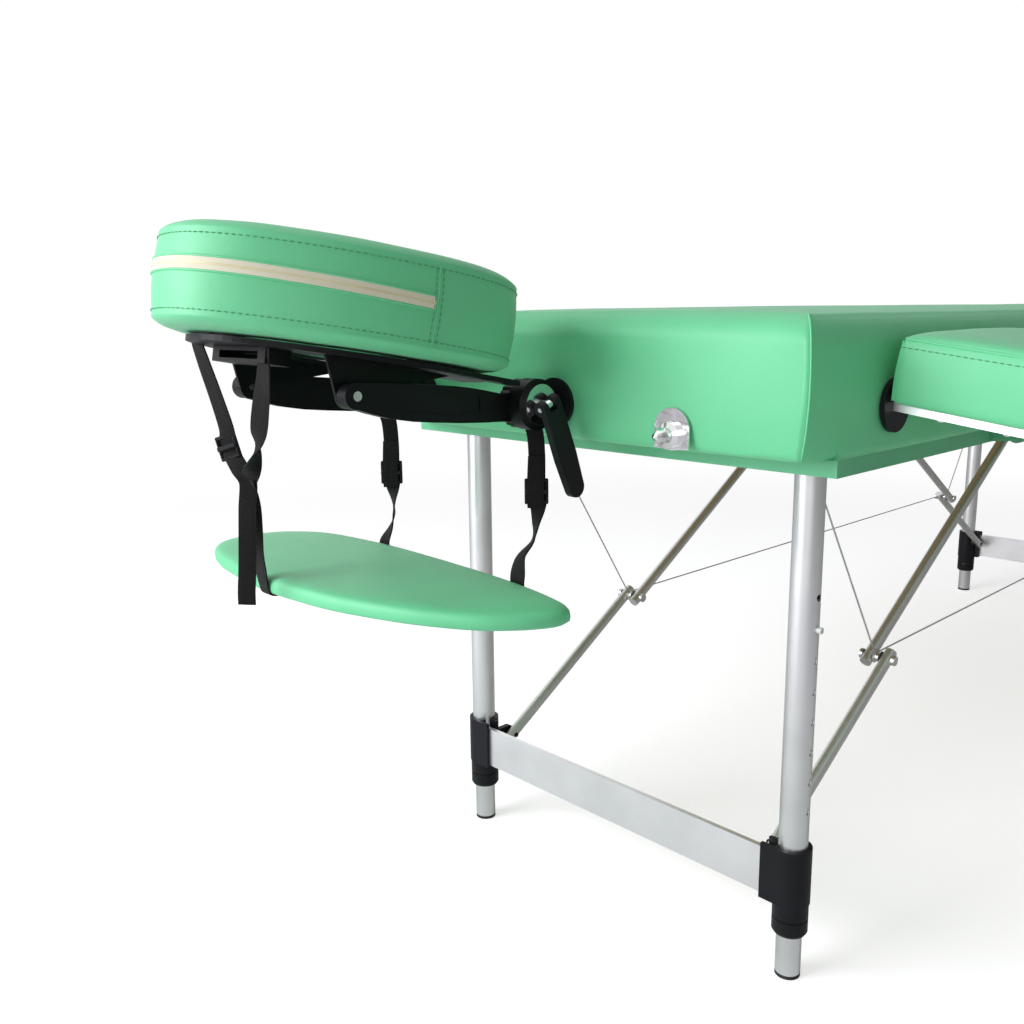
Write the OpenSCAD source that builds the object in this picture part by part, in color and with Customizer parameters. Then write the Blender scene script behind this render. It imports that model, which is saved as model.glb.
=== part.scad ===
// Folding two-section massage table with telescopic legs, toggle braces, face cradle,
// arm shelf and two plug-in side armrests. Millimetres, +Z up, the head end faces -Y.

/* [Table top] */
// Length of the padded top, both halves together
table_l = 1800; // [1600:10:2000]
// Width of the padded top
table_w = 600; // [560:5:700]
// Height of the padded edge above the floor, legs pushed in
table_h = 686; // [676:1:720]
// Height of the padded side from its lower to its upper edge
pad_side = 130; // [124:1:136]
// Rise of the cushion at its middle
pad_crown = 4; // [0:1:8]
// Radius of the upper edge of the cushion
pad_edge_r = 26; // [10:1:30]
// Radius of the lower edge of the cushion
pad_foot_r = 7; // [3:1:9]
// Radius of the upright corners of the cushion
pad_corner_r = 22; // [8:1:30]
// How far the cushion stands out past the frame at the outer end
pad_overhang = 50; // [40:1:60]
// Thickness of the upholstery on the long sides of the frame
pad_skin = 9; // [7:1:12]
// Gap between the two halves when the table is open
half_gap = 4; // [2:1:8]

/* [Frame] */
// Height of the side rails
rail_h = 80; // [78:1:84]
// Thickness of the side rails
rail_t = 18; // [12:1:20]
// Distance from the padded edge down to the underside of the rails
top_depth = 146; // [140:1:150]
// Thickness of the plywood deck
deck_t = 6; // [4:1:7]
// Distance from the underside of the rails down to the fold axis
fold_drop = 4; // [4:0.5:6]
// Radius of the hinge knuckles
knuckle_r = 3.8; // [3.5:0.1:4]
// Radius of the hinge pin
fold_pin_r = 2; // [1.5:0.1:2.2]
// Length of one fold hinge
fold_hinge_l = 80; // [60:5:120]
// Distance of each fold hinge from the middle
fold_hinge_x = 190; // [120:5:210]
// Thickness of the hinge leaves
leaf_t = 2; // [1:0.1:2.5]

/* [Legs] */
// Outer diameter of the upper leg tube
leg_d = 30; // [28:0.5:32]
// Wall of the upper leg tube
leg_wall = 1.5; // [1:0.1:2]
// Wall of the sliding inner tube
inner_wall = 1.5; // [1:0.1:2]
// Clearance all round between the two leg tubes
leg_gap = 0.3; // [0.2:0.05:0.5]
// Distance of the leg axis from the outer face of the side rail
leg_inset = 54; // [50:1:60]
// Distance of the leg axis from the outer end of the frame
leg_setback = 51; // [44:1:60]
// Height of the leg pivot above the underside of the rails
leg_pivot_h = 35; // [34:1:40]
// Radius of the leg pivot pin
leg_pin_r = 4; // [3:0.5:5]
// Lower end of the upper leg tube above the floor
leg_end_z = 54; // [52:1:60]
// Distance from the leg pivot down to the highest adjusting hole
hole_top_drop = 162; // [145:1:190]
// Distance between adjusting holes
hole_pitch = 32; // [28:1:34]
// Number of adjusting holes in a leg
hole_count = 8; // [6:1:9]
// Radius of an adjusting hole
hole_r = 3.6; // [3:0.1:4]
// Radius of the snap button
button_r = 3.2; // [2.5:0.1:3.5]
// How far the snap button stands out of the leg
button_out = 5; // [3:0.5:7]

/* [Leg joiner and crossbar] */
// Height of the crossbar plate
bar_h = 52; // [44:1:56]
// Thickness of the crossbar plate
bar_t = 6; // [4:0.5:8]
// Height of the lower edge of the crossbar above the floor
bar_z = 88; // [86:1:100]
// Wall of the moulded joiner round the leg
joiner_wall = 4.5; // [3:0.5:6]
// Reach of the joiner towards the middle, from the leg axis
joiner_reach = 26.5; // [26:0.5:26.5]
// Height of the joiner block above its own lower edge
joiner_h = 62; // [56:1:66]
// Lower edge of the joiner block above the floor
joiner_z = 85; // [84:1:90]
// Lower edge of the collar under the joiner above the floor
collar_z = 50; // [48:1:54]
// Height of the collar ring
collar_h = 17; // [14:1:19]

/* [Braces] */
// Diameter of the brace tubes
brace_d = 14; // [12:0.5:15]
// Distance of the lower brace from the leg axis, towards the middle
brace_inset = 34; // [34:0.5:38]
// Gap between the two tubes at the knee, filled by the pulley
knee_gap = 8; // [6:0.5:10]
// Height of the lower brace pivot above the floor
brace_low_z = 125; // [118:1:130]
// Distance of the lower brace pivot behind the leg axis
brace_low_y = 21; // [20:0.5:24]
// How much longer the folded brace pair is than the space it folds into
brace_slack = 1; // [0.5:0.5:4]
// Height of the upper brace pivot above the underside of the rails
brace_top_h = 35; // [30:1:38]
// Distance of the upper brace pivot from the middle of the table, along the table
brace_back = 56; // [50:1:70]
// Radius of the brace pivot pins
brace_pin_r = 3; // [2:0.5:3.5]
// Clearance of a pin in its bore
pin_gap = 0.05; // [0.02:0.01:0.09]

/* [Face cradle] */
// Distance of the cradle from the middle of the table, to the far side
cradle_x = -110; // [-120:1:-100]
// Distance between the two cradle pegs
peg_pitch = 220; // [210:1:230]
// Diameter of a cradle peg
peg_d = 14; // [12:0.5:15]
// Height of the pegs above the underside of the rails
peg_rise = 55; // [50:1:58]
// Length of a peg inside its socket
peg_in = 70; // [50:1:72]
// Distance of the hub axis from the end of the table
hub_out = 37; // [36:1:45]
// Radius of the hub
hub_r = 26; // [22:1:27]
// Length of the arm from hub axis to rivet, along the table
arm_reach = 206; // [190:1:220]
// Rise of the arm from hub to rivet
arm_rise = 21; // [10:1:30]
// Thickness of an arm
arm_t = 14; // [10:1:16]
// Depth of an arm at its middle
arm_depth = 37; // [30:1:42]
// Radius of the arm end at the rivet
arm_end_r = 12; // [10:0.5:14]
// Radius of the clamp rod through the hubs
rod_r = 5; // [4:0.5:6]
// Tilt of the head rest, head end up
rest_tilt = 10.5; // [5:0.5:14]
// Distance of the head rest centre from the end of the table
rest_out = 200; // [196:1:205]
// Height of the head rest cushion centre above the pegs
rest_rise = 100; // [97:1:110]
// Width of the head rest cushion
rest_w = 292; // [280:1:320]
// Length of the head rest cushion
rest_l = 328; // [310:1:332]
// Height of the head rest cushion at its middle
rest_t = 94; // [80:1:96]
// Width of the opening in the head rest cushion
rest_hole_w = 116; // [100:1:130]
// Length of the opening in the head rest cushion
rest_hole_l = 150; // [130:1:160]
// Thickness of the plate under the cushion
plate_t = 5; // [4:0.5:6]
// Length of the clamp lever
lever_l = 104; // [90:1:112]
// Width of the clamp lever
lever_w = 26; // [20:1:30]

/* [Arm shelf] */
// Length of the padded shelf, across the table
shelf_l = 488; // [440:1:520]
// Depth of the padded shelf, along the table
shelf_w = 202; // [180:1:210]
// Thickness of the padded shelf
shelf_t = 19; // [16:1:26]
// Distance from the pegs down to the shelf centre
shelf_drop = 184; // [170:1:210]
// Distance of the shelf centre from the end of the table
shelf_out = 164; // [155:1:175]
// Width of the webbing
strap_w = 20; // [16:1:24]
// Thickness of the webbing
strap_t = 1.6; // [1.2:0.1:2]

/* [Side armrests] */
// Distance of the first armrest bar from the head end
armrest_y = 128; // [126:1:132]
// Distance between the two armrest bars
armrest_pitch = 200; // [180:1:220]
// Downward slope of the armrest bars
armrest_slope = 8; // [4:0.5:9]
// Height of the bars above the underside of the rails, where they enter the side
armrest_rise = 60; // [58:1:62]
// Length of the armrest cushion, away from the table
armrest_l = 190; // [150:1:220]
// Width of the armrest cushion, along the table
armrest_w = 250; // [230:1:270]
// Height of the armrest cushion at its edge
armrest_t = 60; // [45:1:70]
// Thickness of an armrest bar
abar_t = 8; // [6:0.5:9]
// Width of an armrest bar
abar_w = 16; // [12:1:18]
// Length of a bar inside its socket
abar_in = 84; // [60:1:86]

/* [Hidden] */

// Facets of round parts, and of the children of a hull
fine_n = 64;
hull_n = 32;
// Overrun of every cut
cut = 1;
// Gap between a soft part or a curved face and its neighbour
soft_gap = 0.3;

// Places along the table: zero is the outer end of the head cushion
half_l = table_l / 2;
fold_skin = 6;
pad_z = table_h - pad_side;
rail_z = table_h - top_depth;
peg_z = rail_z + peg_rise;
armrest_z = rail_z + armrest_rise;
rest_z = peg_z + rest_rise;
shelf_z = peg_z - shelf_drop;
frame_x = table_w / 2 - pad_skin;
frame_end = half_l - half_gap / 2 - fold_skin;
deck_z = rail_z + rail_h;
cavity_z = deck_z + deck_t + soft_gap;
fold_z = rail_z - fold_drop;

leg_x = frame_x - leg_inset;
leg_y = pad_overhang + leg_setback;
pivot_z = rail_z + leg_pivot_h;
hole_top_z = pivot_z - hole_top_drop;
leg_r = leg_d / 2;
inner_r = leg_r - leg_wall - leg_gap;
button_z = hole_top_z - hole_pitch;

low_x = leg_x - brace_inset;
top_x = low_x - brace_d - knee_gap;
brace_r = brace_d / 2;
low_y = leg_y + brace_low_y;
top_z = rail_z + brace_top_h;
// Straight when open, folded flat when the legs lie under the deck: both lengths follow
brace_rise = top_z - brace_low_z;
top_y = half_l - brace_back;
brace_span = top_y - low_y;
brace_angle = atan2(brace_rise, brace_span);
brace_sum = norm([brace_span, brace_rise]);
folded_y = leg_y + pivot_z - brace_low_z;
folded_z = pivot_z + brace_low_y;
folded_span = norm([top_y - folded_y, top_z - folded_z]);
brace_low_l = (brace_sum - folded_span + brace_slack) / 2;
brace_top_l = brace_sum - brace_low_l;
knee_y = low_y + brace_low_l * cos(brace_angle);
knee_z = brace_low_z + brace_low_l * sin(brace_angle);

hub_y = -hub_out;
rivet_y = hub_y - arm_reach;
rivet_z = peg_z + arm_rise;
rest_y = -rest_out;

// Turns a point of the head rest, given from the cushion centre, into table places
function rest_point(p) = [cradle_x + p[0],
                          rest_y + p[1] * cos(rest_tilt) + p[2] * sin(rest_tilt),
                          rest_z - p[1] * sin(rest_tilt) + p[2] * cos(rest_tilt)];

function sign_pow(c, e) = sign(c) * pow(abs(c), e);

// Outline of the head rest seen square on, the angle runs from the table side
rest_outline_power = 2.25;
rest_egg_share = 0.27;
function egg(a, w, l) = let (e = 2 / rest_outline_power, c = sign_pow(cos(a), e), s = sign_pow(sin(a), e))
    [s * w / 2 * (1 + rest_egg_share * c), c * l / 2];

// Cross sections of the horseshoe cushion: a rounded strip swept round the opening
rest_gap_a = 17;
rest_end_a = 8;
rest_turns = 30;
rest_sides = 16;
rest_section_power = 3.2;
rest_angles = [for (i = [0:rest_turns]) rest_gap_a + rest_end_a
               + i * (360 - 2 * (rest_gap_a + rest_end_a)) / rest_turns];
end_share = [0.98, 0.86, 0.62, 0.2];
function rest_section(a, grow) =
    let (o = egg(a, rest_w, rest_l), i = egg(a, rest_hole_w, rest_hole_l),
         m = (o + i) / 2, h = (o - i) / 2, e = 2 / rest_section_power)
    [for (k = [0:rest_sides - 1]) let (q = 360 * k / rest_sides)
        rest_point([m[0] + h[0] * grow * sign_pow(cos(q), e),
                    m[1] + h[1] * grow * sign_pow(cos(q), e),
                    rest_t / 2 * (0.35 + 0.65 * grow) * sign_pow(sin(q), e)])];
function end_turn(s) = rest_end_a * sqrt(1 - s * s);
rest_rings = concat(
    [for (k = [len(end_share) - 1:-1:0]) rest_section(rest_angles[0] - end_turn(end_share[k]), end_share[k])],
    [for (a = rest_angles) rest_section(a, 1)],
    [for (s = end_share) rest_section(rest_angles[rest_turns] + end_turn(s), s)]);

// The head rest and the latch hook are the outermost pieces, so they set the middle
rest_low_y = min([for (r = rest_rings) for (p = r) p[1]]);
hook_t = 3;
head_y = -(table_l + soft_gap + hook_t + rest_low_y) / 2;
foot_y = head_y + table_l;

// Places a shape measured from the outer end of the head half
module at_head() {
    translate([0, head_y, 0]) children();
}

// Places the same shape, mirrored, on the foot half
module at_foot() {
    translate([0, foot_y, 0]) mirror([0, 1, 0]) children();
}

// Shape and its mirror image on the other side
module both_sides() {
    children();
    mirror([1, 0, 0]) children();
}

// Round bar along X from x0 to x1
module bar_x(x0, x1, y, z, r) {
    translate([x0, y, z]) rotate([0, 90, 0]) cylinder(h = x1 - x0, r = r, $fn = fine_n);
}

// Round bar along Y from y0 to y1
module bar_y(x, y0, y1, z, r) {
    translate([x, y0, z]) rotate([-90, 0, 0]) cylinder(h = y1 - y0, r = r, $fn = fine_n);
}

// Block between two corners
module block(a, b) {
    translate(a) cube(b - a);
}

// Outline points of a rectangle with round corners, its sides drawn in by pull
ring_corner_n = 3;
ring_side_n = 4;
function round_rect(x0, x1, y0, y1, r, z, pull = 0) =
    let (c = [[x1 - r, y1 - r], [x0 + r, y1 - r], [x0 + r, y0 + r], [x1 - r, y0 + r]],
         d = [[0, -1], [1, 0], [0, 1], [-1, 0]])
    [for (k = [0:3]) each concat(
        [for (i = [0:ring_corner_n]) let (a = 90 * (k + i / ring_corner_n))
            [c[k][0] + r * cos(a), c[k][1] + r * sin(a), z]],
        [for (i = [1:ring_side_n - 1])
            let (t = i / ring_side_n, n = (k + 1) % 4, a = 90 * (k + 1),
                 p = c[k] * (1 - t) + c[n] * t, b = r - pull * 4 * t * (1 - t))
            [p[0] + b * cos(a), p[1] + b * sin(a), z]])];

// Closed solid through rings of equal length, with a point at each end
function middle(r) = [for (k = [0:2]) let (s = [for (p = r) p[k]]) s * [for (p = r) 1] / len(r)];
module loft(rings) {
    n = len(rings[0]);
    m = len(rings);
    points = concat([for (r = rings) each r], [middle(rings[0]), middle(rings[m - 1])]);
    faces = concat(
        [for (j = [0:m - 2]) for (i = [0:n - 1]) let (k = (i + 1) % n)
            each [[j * n + i, (j + 1) * n + i, (j + 1) * n + k],
                  [j * n + i, (j + 1) * n + k, j * n + k]]],
        [for (i = [0:n - 1]) [m * n, i, (i + 1) % n]],
        [for (i = [0:n - 1]) [m * n + 1, (m - 1) * n + (i + 1) % n, (m - 1) * n + i]]);
    polyhedron(points, faces, convexity = 4);
}

// Tube swept along a list of points, with flat ends
function unit(v) = v / norm(v);
function along(p, i) = unit(p[min(i + 1, len(p) - 1)] - p[max(i - 1, 0)]);
module sweep_tube(path, r, sides) {
    rings = [for (i = [0:len(path) - 1])
        let (t = along(path, i), u = unit(cross(t, [1, 0, 0])), w = cross(t, u))
        [for (k = [sides - 1:-1:0]) let (a = 360 * k / sides) path[i] + r * (u * cos(a) + w * sin(a))]];
    loft(rings);
}

// Table top

// One half of the cushion, hollow underneath so that it fits over frame and deck
cavity_r = 0.8;
min_corner_r = 3;
crown_share = [0.12, 0.3, 0.55, 0.8];
edge_n = 5;
module half_pad() {
    x = table_w / 2;
    y1 = half_l - half_gap / 2;
    cx = frame_x + soft_gap;
    cy0 = pad_overhang - soft_gap;
    cy1 = frame_end + soft_gap;
    top = table_h;
    profile = concat(
        [for (i = [0:2]) let (a = 45 * i)
            [pad_foot_r * (1 - sin(a)), pad_z + pad_foot_r * (1 - cos(a))]],
        [for (i = [0:edge_n]) let (a = 90 * i / edge_n)
            [pad_edge_r * (1 - cos(a)), top - pad_edge_r * (1 - sin(a))]]);
    crowns = [for (s = crown_share) [pad_edge_r + s * (x - pad_edge_r - min_corner_r),
                                     top + pad_crown * sqrt(s)]];
    loft(concat(
        [round_rect(-cx, cx, cy0, cy1, cavity_r, cavity_z),
         round_rect(-cx, cx, cy0, cy1, cavity_r, pad_z)],
        [for (p = concat(profile, crowns))
            let (s = p[0], r = max(min_corner_r, pad_corner_r - s * 0.5))
            round_rect(-x + s, x - s, min(s, pad_edge_r + s * 0.6), y1 - min(s, pad_foot_r + s * 0.3),
                       r, p[1])]));
}

// Holes through the upholstery and the rails for the accessory sockets
module socket_cuts(gap) {
    for (s = [-1, 1])
        bar_y(cradle_x + s * peg_pitch / 2, -cut, pad_overhang + rail_t + cut, peg_z, socket_r + gap);
    both_sides()
        for (k = [0, 1])
            at_armrest(k)
                block([-(pad_skin + rail_t) * 1.2 - cut, -asock_w / 2 - gap, -asock_h / 2 - gap],
                      [pad_skin, asock_w / 2 + gap, asock_h / 2 + gap]);
}

module head_pad() {
    color("mediumaquamarine") at_head() difference() {
        half_pad();
        socket_cuts(soft_gap);
    }
}

module foot_pad() {
    color("mediumaquamarine") at_foot() half_pad();
}

// Rail frame: two side rails, an end rail and a fold rail
module half_frame() {
    difference() {
        block([-frame_x, pad_overhang, rail_z], [frame_x, frame_end, deck_z]);
        block([-frame_x + rail_t, pad_overhang + rail_t, rail_z - cut],
              [frame_x - rail_t, frame_end - rail_t, deck_z + cut]);
    }
}

module head_frame() {
    color("seagreen") at_head() difference() {
        half_frame();
        socket_cuts(0);
    }
}

module foot_frame() {
    color("seagreen") at_foot() half_frame();
}

module half_deck() {
    block([-frame_x, pad_overhang, deck_z], [frame_x, frame_end, deck_z + deck_t]);
}

module head_deck() {
    color("burlywood") at_head() half_deck();
}

module foot_deck() {
    color("burlywood") at_foot() half_deck();
}

// Steel mounts under the deck: a fork for each leg and a fork for each upper brace
fork_t = 3;
fork_w = 24;
fork_gap = 0.5;
brace_fork_w = 18;
pin_head = 1.5;
module fork(x, y, z, half_width, w, pin_r) {
    ear = half_width + fork_gap;
    block([x - ear - fork_t, y - w / 2, deck_z - fork_t], [x + ear + fork_t, y + w / 2, deck_z]);
    for (s = [-1, 1])
        translate([x + s * (ear + fork_t / 2), 0, 0])
            difference() {
                union() {
                    block([-fork_t / 2, y - w / 2, z], [fork_t / 2, y + w / 2, deck_z - fork_t / 2]);
                    bar_x(-fork_t / 2, fork_t / 2, y, z, w / 2);
                }
            }
    bar_x(x - ear - fork_t - pin_head, x + ear + fork_t + pin_head, y, z, pin_r);
}

module half_mounts() {
    both_sides() {
        fork(leg_x, leg_y, pivot_z, leg_r, fork_w, leg_pin_r);
        fork(top_x, top_y, top_z, brace_r, brace_fork_w, brace_pin_r);
    }
}

module head_mounts() {
    color("silver") at_head() half_mounts();
}

module foot_mounts() {
    color("silver") at_foot() half_mounts();
}

// Fold hinges: leaves under the fold rails, knuckles on the fold axis
leaf_w = 20;
knuckle_gap = 0.3;
knuckle_share = [0, 0.32, 0.68, 1];
module hinge_leaf(first, last) {
    y0 = frame_end - leaf_w + rail_t / 3;
    for (x = [-fold_hinge_x, fold_hinge_x])
        translate([x - fold_hinge_l / 2, 0, 0]) {
            block([0, y0, rail_z - leaf_t], [fold_hinge_l, half_l - knuckle_r - knuckle_gap, rail_z]);
            for (k = [first:2:last]) {
                a = knuckle_share[k] * fold_hinge_l + knuckle_gap;
                b = knuckle_share[k + 1] * fold_hinge_l - knuckle_gap;
                block([a, half_l - knuckle_r - knuckle_gap - cut, rail_z - leaf_t],
                      [b, half_l, rail_z - leaf_t / 2]);
                bar_x(a, b, half_l, fold_z, knuckle_r);
            }
        }
}

module fold_rods(over, r) {
    for (x = [-fold_hinge_x, fold_hinge_x])
        bar_x(x - fold_hinge_l / 2 - over, x + fold_hinge_l / 2 + over, half_l, fold_z, r);
}

module fold_hinges() {
    color("gainsboro") at_head() difference() {
        hinge_leaf(0, 2);
        fold_rods(2 * cut, fold_pin_r + pin_gap);
    }
}

// The pins turn in the leaves of both halves
module fold_pins() {
    color("gray") at_head() fold_rods(cut, fold_pin_r);
}

module fold_leaves() {
    color("gainsboro") at_foot() difference() {
        hinge_leaf(1, 1);
        fold_rods(2 * cut, fold_pin_r + pin_gap);
    }
}

// Sockets with round flanges for the cradle pegs
socket_r = 10;
socket_gap = 0.2;
flange_r = 25;
flange_t = 5;
socket_past = 7;
socket_l = pad_overhang + rail_t + socket_past;
module cradle_sockets() {
    color("dimgray") at_head()
        for (s = [-1, 1]) {
            x = cradle_x + s * peg_pitch / 2;
            difference() {
                union() {
                    bar_y(x, -flange_t, -soft_gap, peg_z, flange_r);
                    bar_y(x, -flange_t / 2, socket_l, peg_z, socket_r - soft_gap / 2);
                }
                bar_y(x, -flange_t - cut, socket_l + cut, peg_z, peg_d / 2 + socket_gap);
            }
        }
}

// Local frame of one armrest bar: X points out of the table, down the slope
asock_wall = 2.5;
asock_h = abar_t + 2 * soft_gap + 2 * asock_wall;
asock_w = abar_w + 2 * soft_gap + 2 * asock_wall;
asock_past = 4;
asock_l = abar_in + asock_past;
aflange_r = 25;
aflange_squash_share = 0.9;
module at_armrest(k) {
    translate([table_w / 2, armrest_y + k * armrest_pitch, armrest_z])
        rotate([0, armrest_slope, 0]) children();
}

module side_sockets() {
    color("dimgray") at_head() both_sides()
        for (k = [0, 1])
            difference() {
                union() {
                    at_armrest(k)
                        block([-asock_l, -asock_w / 2 + soft_gap / 2, -asock_h / 2 + soft_gap / 2],
                              [flange_t / 2, asock_w / 2 - soft_gap / 2, asock_h / 2 - soft_gap / 2]);
                    bar_x(table_w / 2 + soft_gap, table_w / 2 + flange_t,
                          armrest_y + k * armrest_pitch, armrest_z, aflange_r);
                }
                at_armrest(k)
                    block([-asock_l - cut, -abar_w / 2 - soft_gap, -abar_t / 2 - soft_gap],
                          [2 * flange_t, abar_w / 2 + soft_gap, abar_t / 2 + soft_gap]);
            }
}

// Latch stud: a plate with a round top and a stepped cone, on the end of the head half
latch_x = 150;
latch_w = 40;
latch_low = 4;
latch_rise = 18;
latch_t = 2;
stud_r = 12;
stud_l = 26;
module latch_plate() {
    z = pad_z + latch_low;
    hull() {
        block([latch_x - latch_w / 2, -latch_t - soft_gap, z], [latch_x + latch_w / 2, -soft_gap, z + latch_rise]);
        bar_y(latch_x, -latch_t - soft_gap, -soft_gap, z + latch_rise, latch_w / 2);
    }
}
stud_outline_share = [[0, 0], [1, 0], [1, 0.2], [0.62, 0.32], [0.58, 0.55], [0.66, 0.62],
                      [0.5, 0.8], [0.28, 0.94], [0, 1]];
module latch_stud() {
    color("silver") at_head() {
        latch_plate();
        translate([latch_x, -latch_t - soft_gap, pad_z + latch_low + latch_rise * 0.7])
            rotate([90, 0, 0])
                rotate_extrude($fn = fine_n)
                    polygon([for (p = stud_outline_share) [p[0] * stud_r, p[1] * stud_l]]);
    }
}

// Latch hook on the end of the foot half, turned aside while the table is open
hook_l = 70;
hook_r = 11;
hook_eye_r = 8;
hook_slot_r = 8.4;
hook_pin_r = 4;
module latch_hook() {
    z = pad_z + latch_low + latch_rise * 0.7;
    y0 = -soft_gap - hook_t;
    color("silver") at_foot() {
        difference() {
            hull() {
                bar_y(latch_x, y0, -soft_gap, z, hook_r);
                bar_y(latch_x - hook_l, y0, -soft_gap, z, hook_r + hook_t);
            }
            bar_y(latch_x - hook_l, y0 - cut, cut, z, hook_slot_r);
            bar_y(latch_x, y0 - cut, cut, z, hook_pin_r + pin_gap);
        }
    }
}

// Carrying handle on the right side rail: a padded grip between two lugs
grip_y = 400;
grip_l = 140;
grip_r = 10;
grip_out = 22;
grip_over = 3;
grip_z = fold_z + grip_r + grip_over;
lug_w = 16;
lug_t = 6;
module half_handle() {
    x = frame_x + grip_out;
    bar_y(x, grip_y, grip_y + grip_l, grip_z, grip_r);
    for (y = [grip_y - lug_w, grip_y + grip_l])
        hull() {
            block([frame_x, y, rail_z + cut], [frame_x + cut, y + lug_w, pad_z - cut]);
            bar_y(x, y, y + lug_w, grip_z, lug_t);
        }
}

module head_handle() {
    color("seagreen") at_head() half_handle();
}

module foot_handle() {
    color("seagreen") at_foot() half_handle();
}

// Legs

module leg_tube(x) {
    difference() {
        translate([x, leg_y, leg_end_z])
            cylinder(h = pivot_z + leg_pin_r * 3 - leg_end_z, r = leg_r, $fn = fine_n);
        translate([x, leg_y, leg_end_z - cut])
            cylinder(h = pivot_z + leg_pin_r * 3 - leg_end_z + 2 * cut, r = leg_r - leg_wall, $fn = fine_n);
        bar_x(x - leg_d, x + leg_d, leg_y, pivot_z, leg_pin_r + pin_gap);
        for (i = [0:hole_count - 1])
            bar_x(x, x + leg_d, leg_y, hole_top_z - i * hole_pitch, hole_r);
    }
}

module leg_pair() {
    both_sides() leg_tube(leg_x);
}

module head_legs() {
    color("silver") at_head() leg_pair();
}

module foot_legs() {
    color("silver") at_foot() leg_pair();
}

// Moulded joiner: sleeve and collar round the leg, pocket for the crossbar, lug for the brace
joiner_r = leg_r + joiner_wall;
joiner_gap = 0.2;
bar_y0 = -leg_r;
pocket_depth = 12;
bar_end_share = 0.86;
bar_end = leg_x - leg_r * bar_end_share;
lug_r = 9;
lug_wide = 7;
lug_x = low_x + brace_r + soft_gap;
collar_in = 1;
collar_edge_r = 3;
module joiner() {
    difference() {
        union() {
            translate([leg_x, leg_y, joiner_z]) cylinder(h = joiner_h, r = joiner_r, $fn = fine_n);
            translate([leg_x, leg_y, collar_z + collar_h + cut])
                cylinder(h = joiner_z - collar_z - collar_h, r = joiner_r - collar_in, $fn = fine_n);
            block([leg_x - joiner_reach, leg_y - joiner_r, joiner_z],
                  [leg_x, leg_y + cut, joiner_z + joiner_h]);
            block([lug_x, leg_y - lug_r / 3, brace_low_z - lug_r], [lug_x + lug_wide, low_y, brace_low_z + lug_r]);
            bar_x(lug_x, lug_x + lug_wide, low_y, brace_low_z, lug_r);
        }
        translate([leg_x, leg_y, 0])
            cylinder(h = table_h, r = leg_r + joiner_gap, $fn = fine_n);
        block([leg_x - joiner_reach - cut, leg_y + bar_y0 - joiner_gap, bar_z - joiner_gap],
              [bar_end + joiner_gap, leg_y + bar_y0 + pocket_depth, joiner_z + joiner_h + cut]);
    }
    bar_x(low_x - brace_r - pin_head, lug_x + cut, low_y, brace_low_z, brace_pin_r);
    translate([leg_x, leg_y, collar_z])
        rotate_extrude($fn = fine_n)
            translate([leg_r + joiner_gap, 0]) {
                w = joiner_wall - joiner_gap - collar_in;
                polygon([[0, 0], [w - collar_edge_r * 0.6, 0], [w, collar_edge_r], [w, collar_h], [0, collar_h]]);
            }
}

module joiner_pair() {
    both_sides() joiner();
}

module head_joiners() {
    color("dimgray") at_head() joiner_pair();
}

module foot_joiners() {
    color("dimgray") at_foot() joiner_pair();
}

// Crossbar plate held in the two pockets
module crossbar() {
    block([-bar_end, leg_y + bar_y0, bar_z], [bar_end, leg_y + bar_y0 + bar_t, bar_z + bar_h]);
}

module head_crossbar() {
    color("whitesmoke") at_head() crossbar();
}

module foot_crossbar() {
    color("whitesmoke") at_foot() crossbar();
}

// Sliding inner tube with its hole for the snap button
tip_h = 4;
tip_plug = 18;
inner_over = 30;
module inner_leg(x) {
    side = sign(x);
    difference() {
        translate([x, leg_y, tip_h])
            cylinder(h = button_z + inner_over - tip_h, r = inner_r, $fn = fine_n);
        translate([x, leg_y, tip_h - cut])
            cylinder(h = button_z + inner_over - tip_h + 2 * cut, r = inner_r - inner_wall, $fn = fine_n);
        bar_x(min(x, x + side * leg_d), max(x, x + side * leg_d), leg_y, button_z, button_r + leg_gap);
    }
}

// Rubber foot plugged into the inner tube
module foot_tip(x) {
    translate([x, leg_y, 0]) {
        cylinder(h = tip_h, r = inner_r, $fn = fine_n);
        cylinder(h = tip_h + tip_plug, r = inner_r - inner_wall - joiner_gap, $fn = fine_n);
    }
}

// Snap button: a round stud with a collar that stays inside the inner tube
button_collar = 1.5;
module snap_button(x) {
    side = sign(x);
    tube = inner_r - inner_wall;
    translate([x, leg_y, button_z]) rotate([0, side * 90, 0]) {
        translate([0, 0, tube - button_r * 2.6])
            cylinder(h = leg_r + button_out - tube + button_r * 2.6, r = button_r, $fn = fine_n);
        translate([0, 0, tube - button_r * 2.6])
            cylinder(h = button_collar, r = button_r * 1.3, $fn = fine_n);
    }
}

module inner_leg_hr() {
    color("gainsboro") at_head() inner_leg(leg_x);
}

module inner_leg_hl() {
    color("gainsboro") at_head() inner_leg(-leg_x);
}

module inner_leg_fr() {
    color("gainsboro") at_foot() inner_leg(leg_x);
}

module inner_leg_fl() {
    color("gainsboro") at_foot() inner_leg(-leg_x);
}

module foot_tip_hr() {
    color("dimgray") at_head() foot_tip(leg_x);
}

module foot_tip_hl() {
    color("dimgray") at_head() foot_tip(-leg_x);
}

module foot_tip_fr() {
    color("dimgray") at_foot() foot_tip(leg_x);
}

module foot_tip_fl() {
    color("dimgray") at_foot() foot_tip(-leg_x);
}

module button_hr() {
    color("white") at_head() snap_button(leg_x);
}

module button_hl() {
    color("white") at_head() snap_button(-leg_x);
}

module button_fr() {
    color("white") at_foot() snap_button(leg_x);
}

module button_fl() {
    color("white") at_foot() snap_button(-leg_x);
}

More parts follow.
